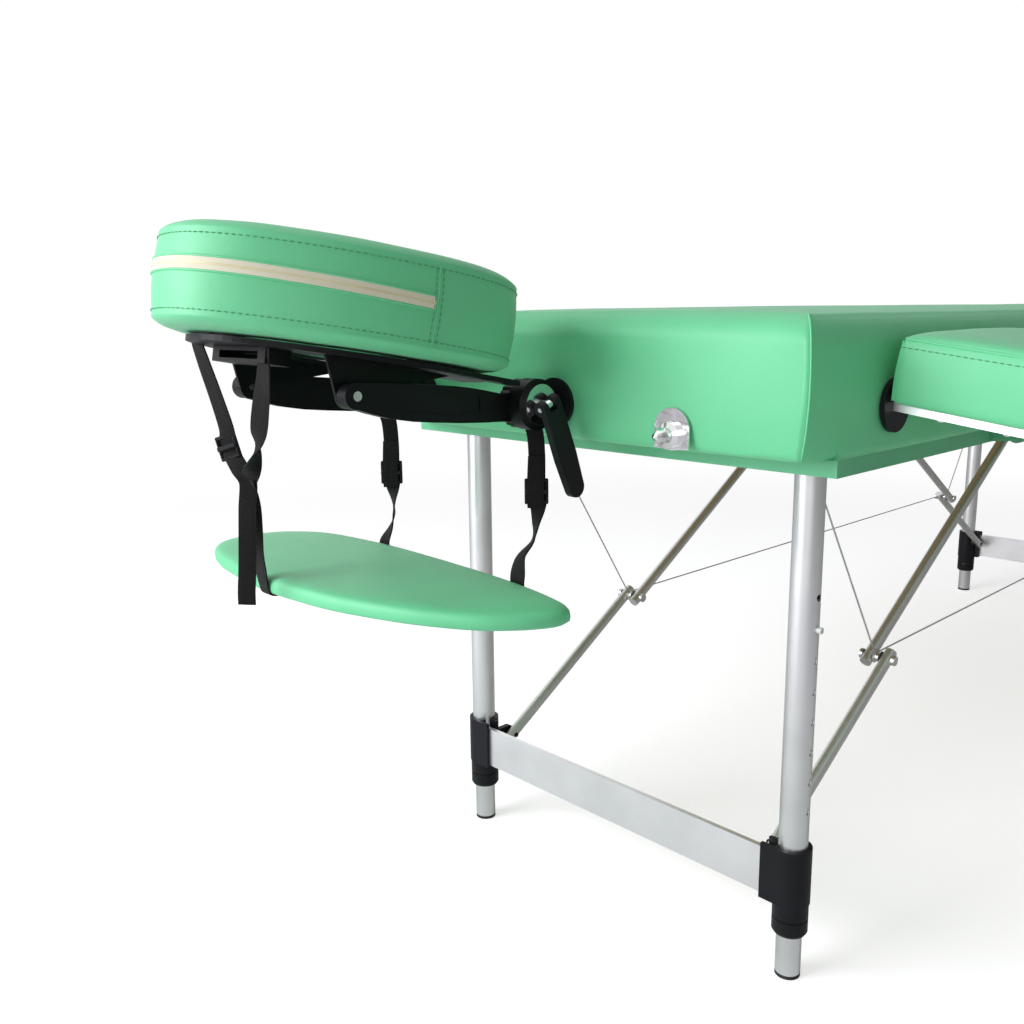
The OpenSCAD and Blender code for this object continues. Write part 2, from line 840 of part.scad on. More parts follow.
// Toggle braces: straight tubes side by side, pinned at joiner, knee and frame
brace_wall = 1.2;
brace_over = 12;
cap_t = 2;
module brace_tube(x, y, z, length, bore0, bore1) {
    translate([x, y, z]) rotate([brace_angle, 0, 0]) difference() {
        bar_y(0, -brace_over, length + brace_over, 0, brace_r);
        bar_y(0, -brace_over + cap_t, length + brace_over - cap_t, 0, brace_r - brace_wall);
        bar_x(-brace_d, brace_d, 0, 0, bore0);
        if (bore1 > 0) bar_x(-brace_d, brace_d, length, 0, bore1);
    }
}

bolt_r = 3;
bolt_head_r = 6;
bolt_head_t = 4;
pulley_r = 8;
module upper_brace_pair() {
    both_sides()
        brace_tube(top_x, knee_y, knee_z, brace_top_l, bolt_r + pin_gap, brace_pin_r + pin_gap);
}

module lower_brace_pair() {
    both_sides() {
        brace_tube(low_x, low_y, brace_low_z, brace_low_l, brace_pin_r + pin_gap, 0);
        bar_x(low_x + brace_r - brace_wall / 2, low_x + brace_r + bolt_head_t, knee_y, knee_z, bolt_head_r);
    }
}

// Knee bolt with nut and grooved cable pulley, carried by the upper brace
pulley_outline_share = [[0, 0], [1, 0], [0.7, 0.3], [0.7, 0.7], [1, 1], [0, 1]];
module knee_pair() {
    both_sides() {
        bar_x(top_x - brace_r - bolt_head_t, low_x - brace_r - soft_gap, knee_y, knee_z, bolt_r);
        bar_x(top_x - brace_r - bolt_head_t, top_x - brace_r - soft_gap, knee_y, knee_z, bolt_head_r);
        translate([top_x + brace_r + soft_gap, knee_y, knee_z]) rotate([0, 90, 0])
            rotate_extrude($fn = fine_n)
                polygon([for (p = pulley_outline_share) [p[0] * pulley_r, p[1] * (knee_gap - 2 * soft_gap)]]);
    }
}

module head_upper_braces() {
    color("wheat") at_head() upper_brace_pair();
}

module head_lower_braces() {
    color("wheat") at_head() lower_brace_pair();
}

module head_knees() {
    color("silver") at_head() knee_pair();
}

module foot_upper_braces() {
    color("wheat") at_foot() upper_brace_pair();
}

module foot_lower_braces() {
    color("wheat") at_foot() lower_brace_pair();
}

module foot_knees() {
    color("silver") at_foot() knee_pair();
}

// Steel cable of one side: leg top, knee, knee, leg top
cable_r = 1;
cable_sides = 8;
cable_anchor = 6;
cable_anchor_y = leg_y + leg_r + cable_anchor;
pulley_groove_share = 0.7;
cable_span_n = 6;
module cable() {
    x = (low_x + top_x) / 2;
    over = knee_z + pulley_r * pulley_groove_share + cable_r + soft_gap;
    a = [x, cable_anchor_y, deck_z - cable_r];
    b = [x, knee_y - pulley_r, over];
    c = [x, knee_y + pulley_r, over];
    total = table_l;
    route = concat(
        [for (i = [0:cable_span_n]) a + (b - a) * i / cable_span_n],
        [for (i = [0:cable_span_n]) c + ([x, total - c[1], c[2]] - c) * i / cable_span_n],
        [for (i = [0:cable_span_n]) [x, total - b[1], b[2]]
            + ([x, total - a[1], a[2]] - [x, total - b[1], b[2]]) * i / cable_span_n]);
    sweep_tube(route, cable_r, cable_sides);
}

module right_cable() {
    color("lightgray") at_head() cable();
}

module left_cable() {
    color("lightgray") at_head() mirror([1, 0, 0]) cable();
}

// Side armrests

armrest_from = 8;
armrest_crown = 7;
armrest_edge_r = 12;
armrest_pull = 3;
armrest_rise_share = [0.35, 0.75];
module armrest_pad() {
    x0 = armrest_from;
    x1 = armrest_from + armrest_l;
    w0 = armrest_pitch / 2 - armrest_w / 2;
    w1 = armrest_pitch / 2 + armrest_w / 2;
    z0 = abar_t / 2 + soft_gap;
    z1 = z0 + armrest_t;
    r = armrest_edge_r;
    profile = concat(
        [for (i = [0:3]) let (a = 30 * i) [r / 2 * (1 - sin(a)), z0 + r / 2 * (1 - cos(a)), 0]],
        [for (i = [0:4]) let (a = 22.5 * i) [r * (1 - cos(a)), z1 - r * (1 - sin(a)), 1 - i / 4]],
        [for (s = armrest_rise_share) [r + s * (armrest_l / 2 - r), z1 + armrest_crown * sqrt(s), 0]]);
    at_armrest(0)
        loft([for (p = profile)
            round_rect(x0 + p[0], x1 - p[0], w0 + p[0], w1 - p[0], max(min_corner_r, r * 1.6 - p[0] * 0.3),
                       p[1], armrest_pull * p[2])]);
}

// Two flat bars with three screws each
ascrew_r = 4.5;
ascrew_t = 2.5;
ascrew_share = [0.2, 0.5, 0.82];
abar_end = 10;
module armrest_bars() {
    for (k = [0, 1])
        at_armrest(k) {
            block([-abar_in, -abar_w / 2, -abar_t / 2],
                  [armrest_from + armrest_l - abar_end, abar_w / 2, abar_t / 2]);
            for (s = ascrew_share)
                translate([armrest_from + s * armrest_l, 0, -abar_t / 2 - ascrew_t])
                    cylinder(h = ascrew_t + cut, r1 = ascrew_r / 2, r2 = ascrew_r, $fn = fine_n);
        }
}

module right_armrest_pad() {
    color("mediumaquamarine") at_head() armrest_pad();
}

module left_armrest_pad() {
    color("mediumaquamarine") at_head() mirror([1, 0, 0]) armrest_pad();
}

module right_armrest_bars() {
    color("silver") at_head() armrest_bars();
}

module left_armrest_bars() {
    color("silver") at_head() mirror([1, 0, 0]) armrest_bars();
}

// Face cradle

// The two arms stand inside the hubs, so each side is the mirror image of the other
module cradle_sides() {
    translate([cradle_x, 0, 0]) both_sides() translate([peg_pitch / 2, 0, 0]) children();
}

hub_half = 9;
neck_r = 8.6;
arm_gap = 0.3;
arm_x1 = -hub_half - arm_gap;
arm_x0 = arm_x1 - arm_t;
module cradle_pegs() {
    color("silver") at_head() cradle_sides()
        bar_y(0, hub_y + neck_r, peg_in, peg_z, peg_d / 2);
}

// Round hub housing on each peg, with a neck that stops against the flange
module cradle_hubs() {
    color("dimgray") at_head() cradle_sides()
        difference() {
            union() {
                bar_x(-hub_half, hub_half, hub_y, peg_z, hub_r);
                bar_y(0, hub_y, -flange_t - soft_gap, peg_z, neck_r);
            }
            bar_x(-hub_half - cut, hub_half + cut, hub_y, peg_z, rod_r + pin_gap);
            bar_y(0, hub_y + neck_r - cut, 0, peg_z, peg_d / 2);
        }
}

// Clamp rod through both hubs and both arm eyes, with a disc and a cam pin at its near end
rod_end = 7;
disc_r = 21;
disc_t = 5;
cam_r = 8;
cam_w = 24;
cam_pin_r = 2.5;
lever_a = 22;
cam_x = cradle_x + peg_pitch / 2 + hub_half + arm_gap + disc_t + arm_gap + cam_r;
module at_cam() {
    translate([cam_x, hub_y, peg_z]) rotate([lever_a, 0, 0]) children();
}
module clamp_rod() {
    x1 = cradle_x + peg_pitch / 2 + hub_half + arm_gap;
    color("silver") at_head() {
        bar_x(cradle_x - peg_pitch / 2 - hub_half - rod_end, cam_x, hub_y, peg_z, rod_r);
        bar_x(x1, x1 + disc_t, hub_y, peg_z, disc_r);
        at_cam() {
            bar_y(0, -rod_r, rod_r, 0, rod_r);
            bar_y(0, -cam_w / 2, cam_w / 2, 0, cam_pin_r);
        }
    }
}

// Arm: ribbed eye round the clamp rod, curved body and a round end at the rivet
arm_eye_r = hub_r - 1;
arm_recess = 1;
rib_count = 24;
rib_r = 1.2;
arm_low_share = [[0, -0.44], [0.14, -0.51], [0.28, -0.555], [0.42, -0.58], [0.56, -0.585],
                 [0.7, -0.575], [0.82, -0.52], [0.92, -0.42], [1, -0.32]];
arm_high_share = [[1, 0.32], [0.9, 0.345], [0.78, 0.36], [0.62, 0.37], [0.46, 0.375],
                  [0.36, 0.355], [0.26, 0.305], [0.16, 0.24], [0, 0.2]];
panel_share = 0.62;
panel_from_share = 0.3;
function arm_point(p) = [hub_y - p[0] * arm_reach, peg_z + p[0] * arm_rise + p[1] * arm_depth];
module arm_outline() {
    polygon([for (p = concat(arm_low_share, arm_high_share)) arm_point(p)]);
}
// Sunk panel on the outer face of an arm
module arm_panel() {
    polygon([for (p = concat(arm_low_share, arm_high_share))
        arm_point([panel_from_share + p[0] * panel_share, p[1] * panel_share])]);
}
module side_profile(x0, x1) {
    translate([x0, 0, 0]) rotate([90, 0, 90]) linear_extrude(x1 - x0) children();
}
module cradle_arms() {
    color("dimgray") at_head() cradle_sides()
        difference() {
            union() {
                side_profile(arm_x0, arm_x1) arm_outline();
                side_profile(arm_x0, arm_x1)
                    polygon([for (i = [0:2 * rib_count - 1])
                        let (a = 180 * i / rib_count, r = arm_eye_r - (i % 2) * rib_r)
                        [hub_y + r * cos(a), peg_z + r * sin(a)]]);
                bar_x(arm_x0, arm_x1, rivet_y, rivet_z, arm_end_r);
            }
            bar_x(arm_x0 - cut, arm_x1 + cut, hub_y, peg_z, rod_r + pin_gap);
            bar_x(arm_x0 - cut, arm_x1 + cut, rivet_y, rivet_z, rivet_r + pin_gap);
            side_profile(arm_x1 - arm_recess, arm_x1 + cut) arm_panel();
        }
}

rivet_r = 3;
rivet_head_r = 4.5;
rivet_head_t = 1.2;
bracket_t = 3;
bracket_x1 = arm_x0 - arm_gap;
bracket_x0 = bracket_x1 - bracket_t;
module arm_rivets() {
    color("gainsboro") at_head() cradle_sides() {
        bar_x(bracket_x0 - rivet_head_t, arm_x1 + rivet_head_t, rivet_y, rivet_z, rivet_r);
        bar_x(arm_x1 + arm_gap / 2, arm_x1 + rivet_head_t + arm_gap, rivet_y, rivet_z, rivet_head_r);
    }
}

// Places a shape that is measured on the underside of the head rest cushion
rest_gap = 1;
plate_top = -rest_t / 2 - rest_gap;
module at_rest() {
    translate([cradle_x, rest_y, rest_z]) rotate([-rest_tilt, 0, 0]) children();
}

// Bracket of the head rest: an upright cheek from the rivet to the plate
cheek_w = 130;
module rest_brackets() {
    z = plate_top - plate_t;
    y = rivet_y - rest_y;
    color("dimgray") at_head() cradle_sides()
        difference() {
            union() {
                bar_x(bracket_x0, bracket_x1, rivet_y, rivet_z, arm_end_r);
                side_profile(bracket_x0, bracket_x1)
                    polygon([[rivet_y - arm_end_r, rivet_z], [rivet_y + arm_end_r, rivet_z],
                             cheek_point(y + cheek_w, z), cheek_point(y - arm_end_r, z)]);
            }
            bar_x(bracket_x0 - cut, bracket_x1 + cut, rivet_y, rivet_z, rivet_r);
        }
}
function cheek_point(y, z) = [rest_y + y * cos(rest_tilt) + z * sin(rest_tilt),
                              rest_z - y * sin(rest_tilt) + z * cos(rest_tilt)];

// Horseshoe plate under the cushion, with a strap block near its head end
plate_w = 244;
plate_l = 286;
plate_shift = 10;
plate_hole_w = 150;
plate_hole_l = 176;
plate_lip = 3;
block_w = 96;
block_l = 26;
block_from = 52;
block_y = -plate_l / 2 + block_from;
block_h = 14;
block_slot_w = 70;
block_slot_h = 7;
module plate_outline(w, l) {
    polygon([for (i = [0:71]) egg(5 * i, w, l)]);
}
module rest_plate() {
    color("dimgray") at_head() at_rest() {
        translate([0, plate_shift, plate_top - plate_t]) difference() {
            union() {
                linear_extrude(plate_t) plate_outline(plate_w, plate_l);
                for (s = [-1, 1])
                    block([s * peg_pitch / 2 - plate_lip * 6, 0, 0],
                          [s * peg_pitch / 2 + plate_lip * 2, plate_l / 2, plate_t]);
            }
            translate([0, 0, -cut]) linear_extrude(plate_t + 2 * cut) plate_outline(plate_hole_w, plate_hole_l);
            block([-rest_hole_w / 4, 0, -cut], [rest_hole_w / 4, plate_l, plate_t + cut]);
        }
        difference() {
            block([-block_w / 2, block_y, plate_top - plate_t - block_h],
                  [block_w / 2, block_y + block_l, plate_top - plate_t]);
            block([-block_slot_w / 2, block_y - cut, plate_top - plate_t - block_h / 2 - block_slot_h / 2],
                  [block_slot_w / 2, block_y + block_l + cut, plate_top - plate_t - block_h / 2 + block_slot_h / 2]);
        }
    }
}

module rest_cushion() {
    color("mediumaquamarine") at_head() loft(rest_rings);
}

// Clamp lever: a forked cam on the cam pin and a paddle that hangs down
lever_t = 8;
lever_tip_share = 0.42;
module clamp_lever() {
    color("black") at_head() at_cam() difference() {
        union() {
            bar_y(0, -cam_w / 2, cam_w / 2, 0, cam_r);
            hull() {
                block([0, -cam_w / 2, -cam_r / 2], [cam_r, cam_w / 2, 0]);
                translate([0, 0, -lever_l * 0.55])
                    rotate([0, 90, 0]) cylinder(h = lever_t, r = lever_w / 2, $fn = hull_n);
                translate([0, 0, -lever_l + lever_w * lever_tip_share])
                    rotate([0, 90, 0]) cylinder(h = lever_t, r = lever_w * lever_tip_share, $fn = hull_n);
            }
        }
        block([-cam_r - cut, -rod_r - soft_gap, -rod_r - soft_gap],
              [cam_r + cut, rod_r + soft_gap, cam_r + cut]);
        bar_y(0, -cam_w / 2 - cut, cam_w / 2 + cut, 0, cam_pin_r + pin_gap);
    }
}

// Arm shelf: an oval padded board hung from three straps

shelf_power = 3;
shelf_n = 40;
shelf_edge_share = [[0.93, -1], [0.985, -0.72], [1, -0.2], [0.985, 0.4], [0.93, 0.78], [0.75, 0.95], [0.4, 1]];
function oval(a, w, l) = let (e = 2 / shelf_power) [w / 2 * sign_pow(cos(a), e), l / 2 * sign_pow(sin(a), e)];
module shelf_board() {
    color("mediumaquamarine") at_head() translate([cradle_x, -shelf_out, shelf_z])
        loft([for (s = shelf_edge_share)
            [for (i = [0:shelf_n - 1]) let (p = oval(360 * i / shelf_n, shelf_l * s[0], shelf_w * s[0]))
                [p[0], p[1], s[1] * shelf_t / 2]]]);
}

// Webbing band through a list of points, flat across its width
module band(route, w, t) {
    rings = [for (i = [0:len(route) - 1])
        let (d = along(route, i), side = [1, 0, 0], n = unit(cross(d, side)))
        [for (c = [[-1, -1], [1, -1], [1, 1], [-1, 1]])
            route[i] + side * c[0] * w / 2 + n * c[1] * t / 2]];
    loft(rings);
}

shelf_y0 = -shelf_out - shelf_w / 2;
shelf_y1 = -shelf_out + shelf_w / 2;
strap_edge = strap_t / 2 + soft_gap;
yoke_x = -40;
yoke_far = 40;
yoke_near = 80;
yoke_drop = 50;
yoke_z = peg_z - yoke_drop;
buckle_l = 28;
buckle_wide = 4;
buckle_t = 3;
buckle_rise = 90;
buckle_back = 12;
buckle_y = shelf_y1 + buckle_back;
buckle_z = shelf_z + buckle_rise;
strap_turn = 12;
strap_tuck = 14;
strap_under = 2;
module rear_strap() {
    band([[0, hub_y, peg_z - hub_r - strap_edge], [0, buckle_y, buckle_z + buckle_l * 0.8],
          [0, buckle_y, buckle_z - buckle_l * 0.8],
          [0, shelf_y1 + strap_edge, shelf_z + strap_turn],
          [0, shelf_y1 + strap_edge, shelf_z - shelf_t / 2 - strap_under],
          [0, shelf_y1 - strap_tuck, shelf_z - shelf_t / 2 - strap_edge]], strap_w, strap_t);
}
yoke_back = 112;
yoke_out = 24;
yoke_over = 8;
front_turn = 10;
front_turn_rise = 70;
plate_front = cheek_point(-yoke_back, plate_top - plate_t);
module front_strap() {
    translate([yoke_x, 0, 0])
    band([[0, shelf_y0 - yoke_out, yoke_z], [0, shelf_y0 - front_turn, shelf_z + front_turn_rise],
          [0, shelf_y0 - strap_edge, shelf_z],
          [0, shelf_y0 - strap_edge, shelf_z - shelf_t / 2 - strap_under],
          [0, shelf_y0 + strap_tuck, shelf_z - shelf_t / 2 - strap_edge]], strap_w, strap_t);
    for (s = [-yoke_far, yoke_near])
        translate([yoke_x + sign(s) * strap_w / 4, 0, 0])
            band([[s, plate_front[0], plate_front[1] - strap_edge],
                  [s * 0.6, shelf_y0 - yoke_out - strap_under, (plate_front[1] + yoke_z) / 2],
                  [0, shelf_y0 - yoke_out - strap_t, yoke_z - yoke_over]], strap_w, strap_t);
}
module shelf_straps() {
    color("black") at_head() {
        cradle_sides() rear_strap();
        translate([cradle_x, 0, 0]) front_strap();
    }
}

// Ladder buckles on the straps
module buckle(p) {
    translate(p) difference() {
        block([-strap_w / 2 - buckle_wide, -strap_t / 2 - buckle_t, -buckle_l / 2],
              [strap_w / 2 + buckle_wide, strap_t / 2 + buckle_t, buckle_l / 2]);
        block([-strap_w / 2 - soft_gap, -strap_t - soft_gap * 2, -buckle_l], [strap_w / 2 + soft_gap, strap_t + soft_gap * 2, buckle_l]);
    }
}
module shelf_buckles() {
    color("dimgray") at_head()
        cradle_sides() buckle([0, buckle_y, buckle_z]);
}

head_frame();
head_deck();
head_pad();
head_mounts();
cradle_sockets();
side_sockets();
latch_stud();
head_handle();
fold_hinges();
fold_pins();
foot_frame();
foot_deck();
foot_pad();
foot_mounts();
fold_leaves();
foot_handle();
latch_hook();
head_legs();
head_crossbar();
head_joiners();
foot_legs();
foot_crossbar();
foot_joiners();
inner_leg_hr();
inner_leg_hl();
inner_leg_fr();
inner_leg_fl();
foot_tip_hr();
foot_tip_hl();
foot_tip_fr();
foot_tip_fl();
button_hr();
button_hl();
button_fr();
button_fl();
head_upper_braces();
head_lower_braces();
head_knees();
foot_upper_braces();
foot_lower_braces();
foot_knees();
right_cable();
left_cable();
right_armrest_pad();
right_armrest_bars();
left_armrest_pad();
left_armrest_bars();
cradle_pegs();
cradle_hubs();
clamp_rod();
cradle_arms();
arm_rivets();
clamp_lever();
rest_brackets();
rest_plate();
rest_cushion();
shelf_board();
shelf_straps();
shelf_buckles();
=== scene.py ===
import math

import bpy
import bmesh
from mathutils import Matrix, Vector, noise


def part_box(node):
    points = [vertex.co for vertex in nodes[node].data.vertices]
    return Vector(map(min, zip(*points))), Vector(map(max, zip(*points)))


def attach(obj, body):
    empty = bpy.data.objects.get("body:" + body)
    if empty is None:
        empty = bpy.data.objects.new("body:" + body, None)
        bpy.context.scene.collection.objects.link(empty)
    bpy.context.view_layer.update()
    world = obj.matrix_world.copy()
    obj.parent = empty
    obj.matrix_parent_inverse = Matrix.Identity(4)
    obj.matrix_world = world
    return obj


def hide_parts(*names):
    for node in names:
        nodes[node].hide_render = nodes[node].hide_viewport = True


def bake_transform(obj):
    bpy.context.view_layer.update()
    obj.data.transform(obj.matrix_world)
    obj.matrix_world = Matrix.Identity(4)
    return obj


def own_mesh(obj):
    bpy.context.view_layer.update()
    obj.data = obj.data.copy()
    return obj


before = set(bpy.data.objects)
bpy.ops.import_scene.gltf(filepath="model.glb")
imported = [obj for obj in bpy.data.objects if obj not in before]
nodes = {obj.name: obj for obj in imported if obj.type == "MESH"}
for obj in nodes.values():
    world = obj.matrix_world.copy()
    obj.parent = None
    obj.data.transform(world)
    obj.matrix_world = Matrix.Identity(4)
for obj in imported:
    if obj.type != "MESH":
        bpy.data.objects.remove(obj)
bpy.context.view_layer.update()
scene = bpy.context.scene

MM = 0.001
HEAD_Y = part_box("head_pad")[0].y
FOOT_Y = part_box("foot_pad")[1].y


def head(x, v, z):
    """A point of the head half: x, distance from the outer end and height, in millimetres."""
    return Vector((x * MM, HEAD_Y + v * MM, z * MM))


def foot(x, v, z):
    """The same for the foot half, with v from its own outer end."""
    return Vector((x * MM, FOOT_Y - v * MM, z * MM))


# Camera

CAM_YAW, CAM_PITCH, CAM_ROLL = 0.81259, -0.19865, -0.012473
CAM_AT = (716.7, -745, 686.5)
FOCAL_PX, PHOTO_PX, SENSOR_MM = 991.6, 1024, 36


def make_camera():
    data = bpy.data.cameras.new("camera")
    cam = bpy.data.objects.new("camera", data)
    scene.collection.objects.link(cam)
    fwd = Vector((-math.sin(CAM_YAW) * math.cos(CAM_PITCH), math.cos(CAM_YAW) * math.cos(CAM_PITCH),
                  math.sin(CAM_PITCH)))
    right = Vector((math.cos(CAM_YAW), math.sin(CAM_YAW), 0))
    up = right.cross(fwd)
    cr, sr = math.cos(CAM_ROLL), math.sin(CAM_ROLL)
    r2, u2 = cr * right + sr * up, -sr * right + cr * up
    m = Matrix((r2, u2, -fwd)).transposed().to_4x4()
    m.translation = head(*CAM_AT)
    cam.matrix_world = m
    data.sensor_width = SENSOR_MM
    data.lens = FOCAL_PX / PHOTO_PX * SENSOR_MM
    data.clip_start = 0.02
    data.clip_end = 60
    scene.camera = cam


# Materials

def srgb(r, g, b):
    def f(c):
        c /= 255
        return c / 12.92 if c <= 0.04045 else ((c + 0.055) / 1.055) ** 2.4
    return (f(r), f(g), f(b), 1)


class Mat:
    """A material with a few helpers that add and join nodes."""

    def __init__(self, name, **sockets):
        self.m = bpy.data.materials.new(name)
        self.m.use_nodes = True
        self.t = self.m.node_tree
        self.bsdf = self.t.nodes["Principled BSDF"]
        for k, v in sockets.items():
            self.set(k, v)

    def set(self, key, value):
        key = key.replace("_", " ")
        self.bsdf.inputs[key].default_value = value

    def node(self, kind, **values):
        n = self.t.nodes.new("ShaderNode" + kind)
        for k, v in values.items():
            if k in n.inputs:
                n.inputs[k].default_value = v
            elif k.replace("_", " ") in n.inputs:
                n.inputs[k.replace("_", " ")].default_value = v
            else:
                setattr(n, k, v)
        return n

    def link(self, a, b):
        self.t.links.new(a, b)

    def coords(self, scale=(1, 1, 1)):
        c = self.node("TexCoord")
        m = self.node("Mapping")
        m.inputs["Scale"].default_value = scale
        self.link(c.outputs["Object"], m.inputs["Vector"])
        return m.outputs["Vector"]

    def noise(self, vec, scale, detail=3, rough=0.5):
        n = self.node("TexNoise", Scale=scale, Detail=detail, Roughness=rough)
        self.link(vec, n.inputs["Vector"])
        return n.outputs["Fac"]

    def ramp(self, fac, stops):
        r = self.node("ValToRGB")
        e = r.color_ramp.elements
        for i, (p, c) in enumerate(stops):
            e[i].position = p
            e[i].color = (c, c, c, 1)
        self.link(fac, r.inputs["Fac"])
        return r.outputs["Color"]

    def mix(self, fac, a, b):
        n = self.node("Mix", data_type="RGBA")
        for sock, v in ((0, fac), (6, a), (7, b)):
            if hasattr(v, "links"):
                self.link(v, n.inputs[sock])
            else:
                n.inputs[sock].default_value = v
        return n.outputs[2]

    def math(self, op, a, b):
        n = self.node("Math", operation=op)
        for i, v in enumerate((a, b)):
            if hasattr(v, "links"):
                self.link(v, n.inputs[i])
            else:
                n.inputs[i].default_value = v
        return n.outputs[0]

    def bump(self, height, strength, distance, under=None):
        n = self.node("Bump", Strength=strength, Distance=distance)
        self.link(height, n.inputs["Height"])
        if under is not None:
            self.link(under, n.inputs["Normal"])
        return n.outputs["Normal"]

    def color(self, out):
        self.link(out, self.bsdf.inputs["Base Color"])

    def roughness(self, out):
        self.link(out, self.bsdf.inputs["Roughness"])

    def normal(self, out):
        self.link(out, self.bsdf.inputs["Normal"])


def shade(c, k):
    return (c[0] * k, c[1] * k, c[2] * k, 1)


def vinyl(name, base, grain=1.0, rough=0.46):
    """Soft upholstery vinyl: pebbled grain, faint mottling and uneven sheen."""
    m = Mat(name, Specular_IOR_Level=0.5, Sheen_Weight=0.1, Sheen_Roughness=0.5)
    v = m.coords()
    broad = m.noise(v, 9, 2)
    col = m.mix(m.ramp(broad, [(0.3, 0.0), (0.7, 1.0)]), shade(base, 0.95), shade(base, 1.04))
    cells = m.node("TexVoronoi", feature="DISTANCE_TO_EDGE", Scale=520)
    m.link(v, cells.inputs["Vector"])
    pits = m.ramp(cells.outputs["Distance"], [(0.0, 0.0), (0.12, 1.0)])
    # The grain's grooves are painted darker: painted shade in the pits of the pebbled grain.
    col = m.mix(m.mix(0.85, pits, (1, 1, 1, 1)), shade(base, 0.8), col)
    m.color(col)
    fine = m.noise(v, 1400, 2)
    m.roughness(m.math("ADD", m.math("MULTIPLY", m.noise(v, 40, 3), 0.12), rough - 0.06))
    b = m.bump(pits, 0.22 * grain, 0.0003)
    b = m.bump(fine, 0.10 * grain, 0.0002, b)
    b = m.bump(m.noise(v, 26, 3), 0.10, 0.004, b)
    m.normal(b)
    return m.m


def metal(name, base, rough, streak=(1, 1, 1), aniso=0.0, spots=0.0):
    """Anodised or plated metal with fine draw lines and slight staining."""
    m = Mat(name, Metallic=1.0, Anisotropic=aniso)
    v = m.coords(scale=streak)
    streaks = m.noise(v, 300, 4, 0.6)
    w = m.coords()
    stain = m.noise(w, 14, 3)
    col = m.mix(m.ramp(stain, [(0.35, 0.0), (0.7, 1.0)]), shade(base, 0.93), shade(base, 1.03))
    if spots:
        col = m.mix(m.ramp(m.noise(w, 320, 2), [(0.62, 0.0), (0.72, spots)]), col, shade(base, 0.6))
    m.color(col)
    m.roughness(m.math("ADD", m.math("MULTIPLY", streaks, 0.16), rough - 0.08))
    m.normal(m.bump(streaks, 0.12, 0.0002))
    return m.m


def plastic(name, base, rough=0.42, grain=0.25, scale=900, spec=0.18):
    """Moulded plastic with spark-erosion grain and faint handling marks."""
    m = Mat(name, Specular_IOR_Level=spec)
    v = m.coords()
    g = m.noise(v, scale, 3, 0.6)
    broad = m.noise(v, 18, 3)
    m.color(m.mix(m.ramp(broad, [(0.35, 0.0), (0.75, 1.0)]), shade(base, 0.9), shade(base, 1.15)))
    m.roughness(m.math("ADD", m.math("MULTIPLY", broad, 0.2), rough - 0.1))
    m.normal(m.bump(g, grain, 0.0003))
    return m.m


def rubber(name, base):
    m = Mat(name, Specular_IOR_Level=0.3)
    v = m.coords()
    dust = m.noise(v, 60, 4)
    m.color(m.mix(m.ramp(dust, [(0.45, 0.0), (0.8, 0.5)]), base, shade(base, 3)))
    m.roughness(m.math("ADD", m.math("MULTIPLY", dust, 0.15), 0.65))
    m.normal(m.bump(m.noise(v, 700, 2), 0.3, 0.0003))
    return m.m


def wood(name, base):
    m = Mat(name, Specular_IOR_Level=0.3)
    v = m.coords(scale=(1, 8, 8))
    grain = m.noise(v, 9, 6, 0.65)
    rings = m.node("TexWave", Scale=4.0, Distortion=6.0, Detail=3.0)
    m.link(v, rings.inputs["Vector"])
    col = m.mix(m.ramp(grain, [(0.3, 0.0), (0.7, 1.0)]), shade(base, 0.72), shade(base, 1.1))
    col = m.mix(m.math("MULTIPLY", rings.outputs["Fac"], 0.25), col, shade(base, 0.6))
    m.color(col)
    m.roughness(m.math("ADD", m.math("MULTIPLY", grain, 0.2), 0.5))
    m.normal(m.bump(grain, 0.2, 0.0005))
    return m.m


def webbing(name, base):
    """Ribbed strap weave: cross ribs from the strap's length and width coordinates."""
    m = Mat(name, Specular_IOR_Level=0.12, Sheen_Weight=0.06, Sheen_Roughness=0.5)
    v = m.node("TexCoord").outputs["UV"]
    ribs = m.node("TexWave", Scale=170.0, Distortion=0.3, Detail=1.0, bands_direction="Y")
    m.link(v, ribs.inputs["Vector"])
    warp = m.node("TexWave", Scale=230.0, Distortion=0.4, Detail=1.0, bands_direction="X")
    m.link(v, warp.inputs["Vector"])
    rib_height = m.math("MULTIPLY", ribs.outputs["Fac"], 0.7)
    h = m.math("ADD", rib_height, m.math("MULTIPLY", warp.outputs["Fac"], 0.3))
    # Colour follows the rib height: painted shade between the ribs and a painted highlight on the rib tops.
    m.color(m.mix(m.ramp(h, [(0.2, 0.0), (0.9, 1.0)]), shade(base, 0.4), shade(base, 1.7)))
    m.roughness(m.math("ADD", m.math("MULTIPLY", h, 0.1), 0.62))
    m.normal(m.bump(h, 0.6, 0.0006))
    return m.m


GREEN = srgb(106, 208, 150)
ALLOY = (0.78, 0.79, 0.79, 1)
MATS = {}


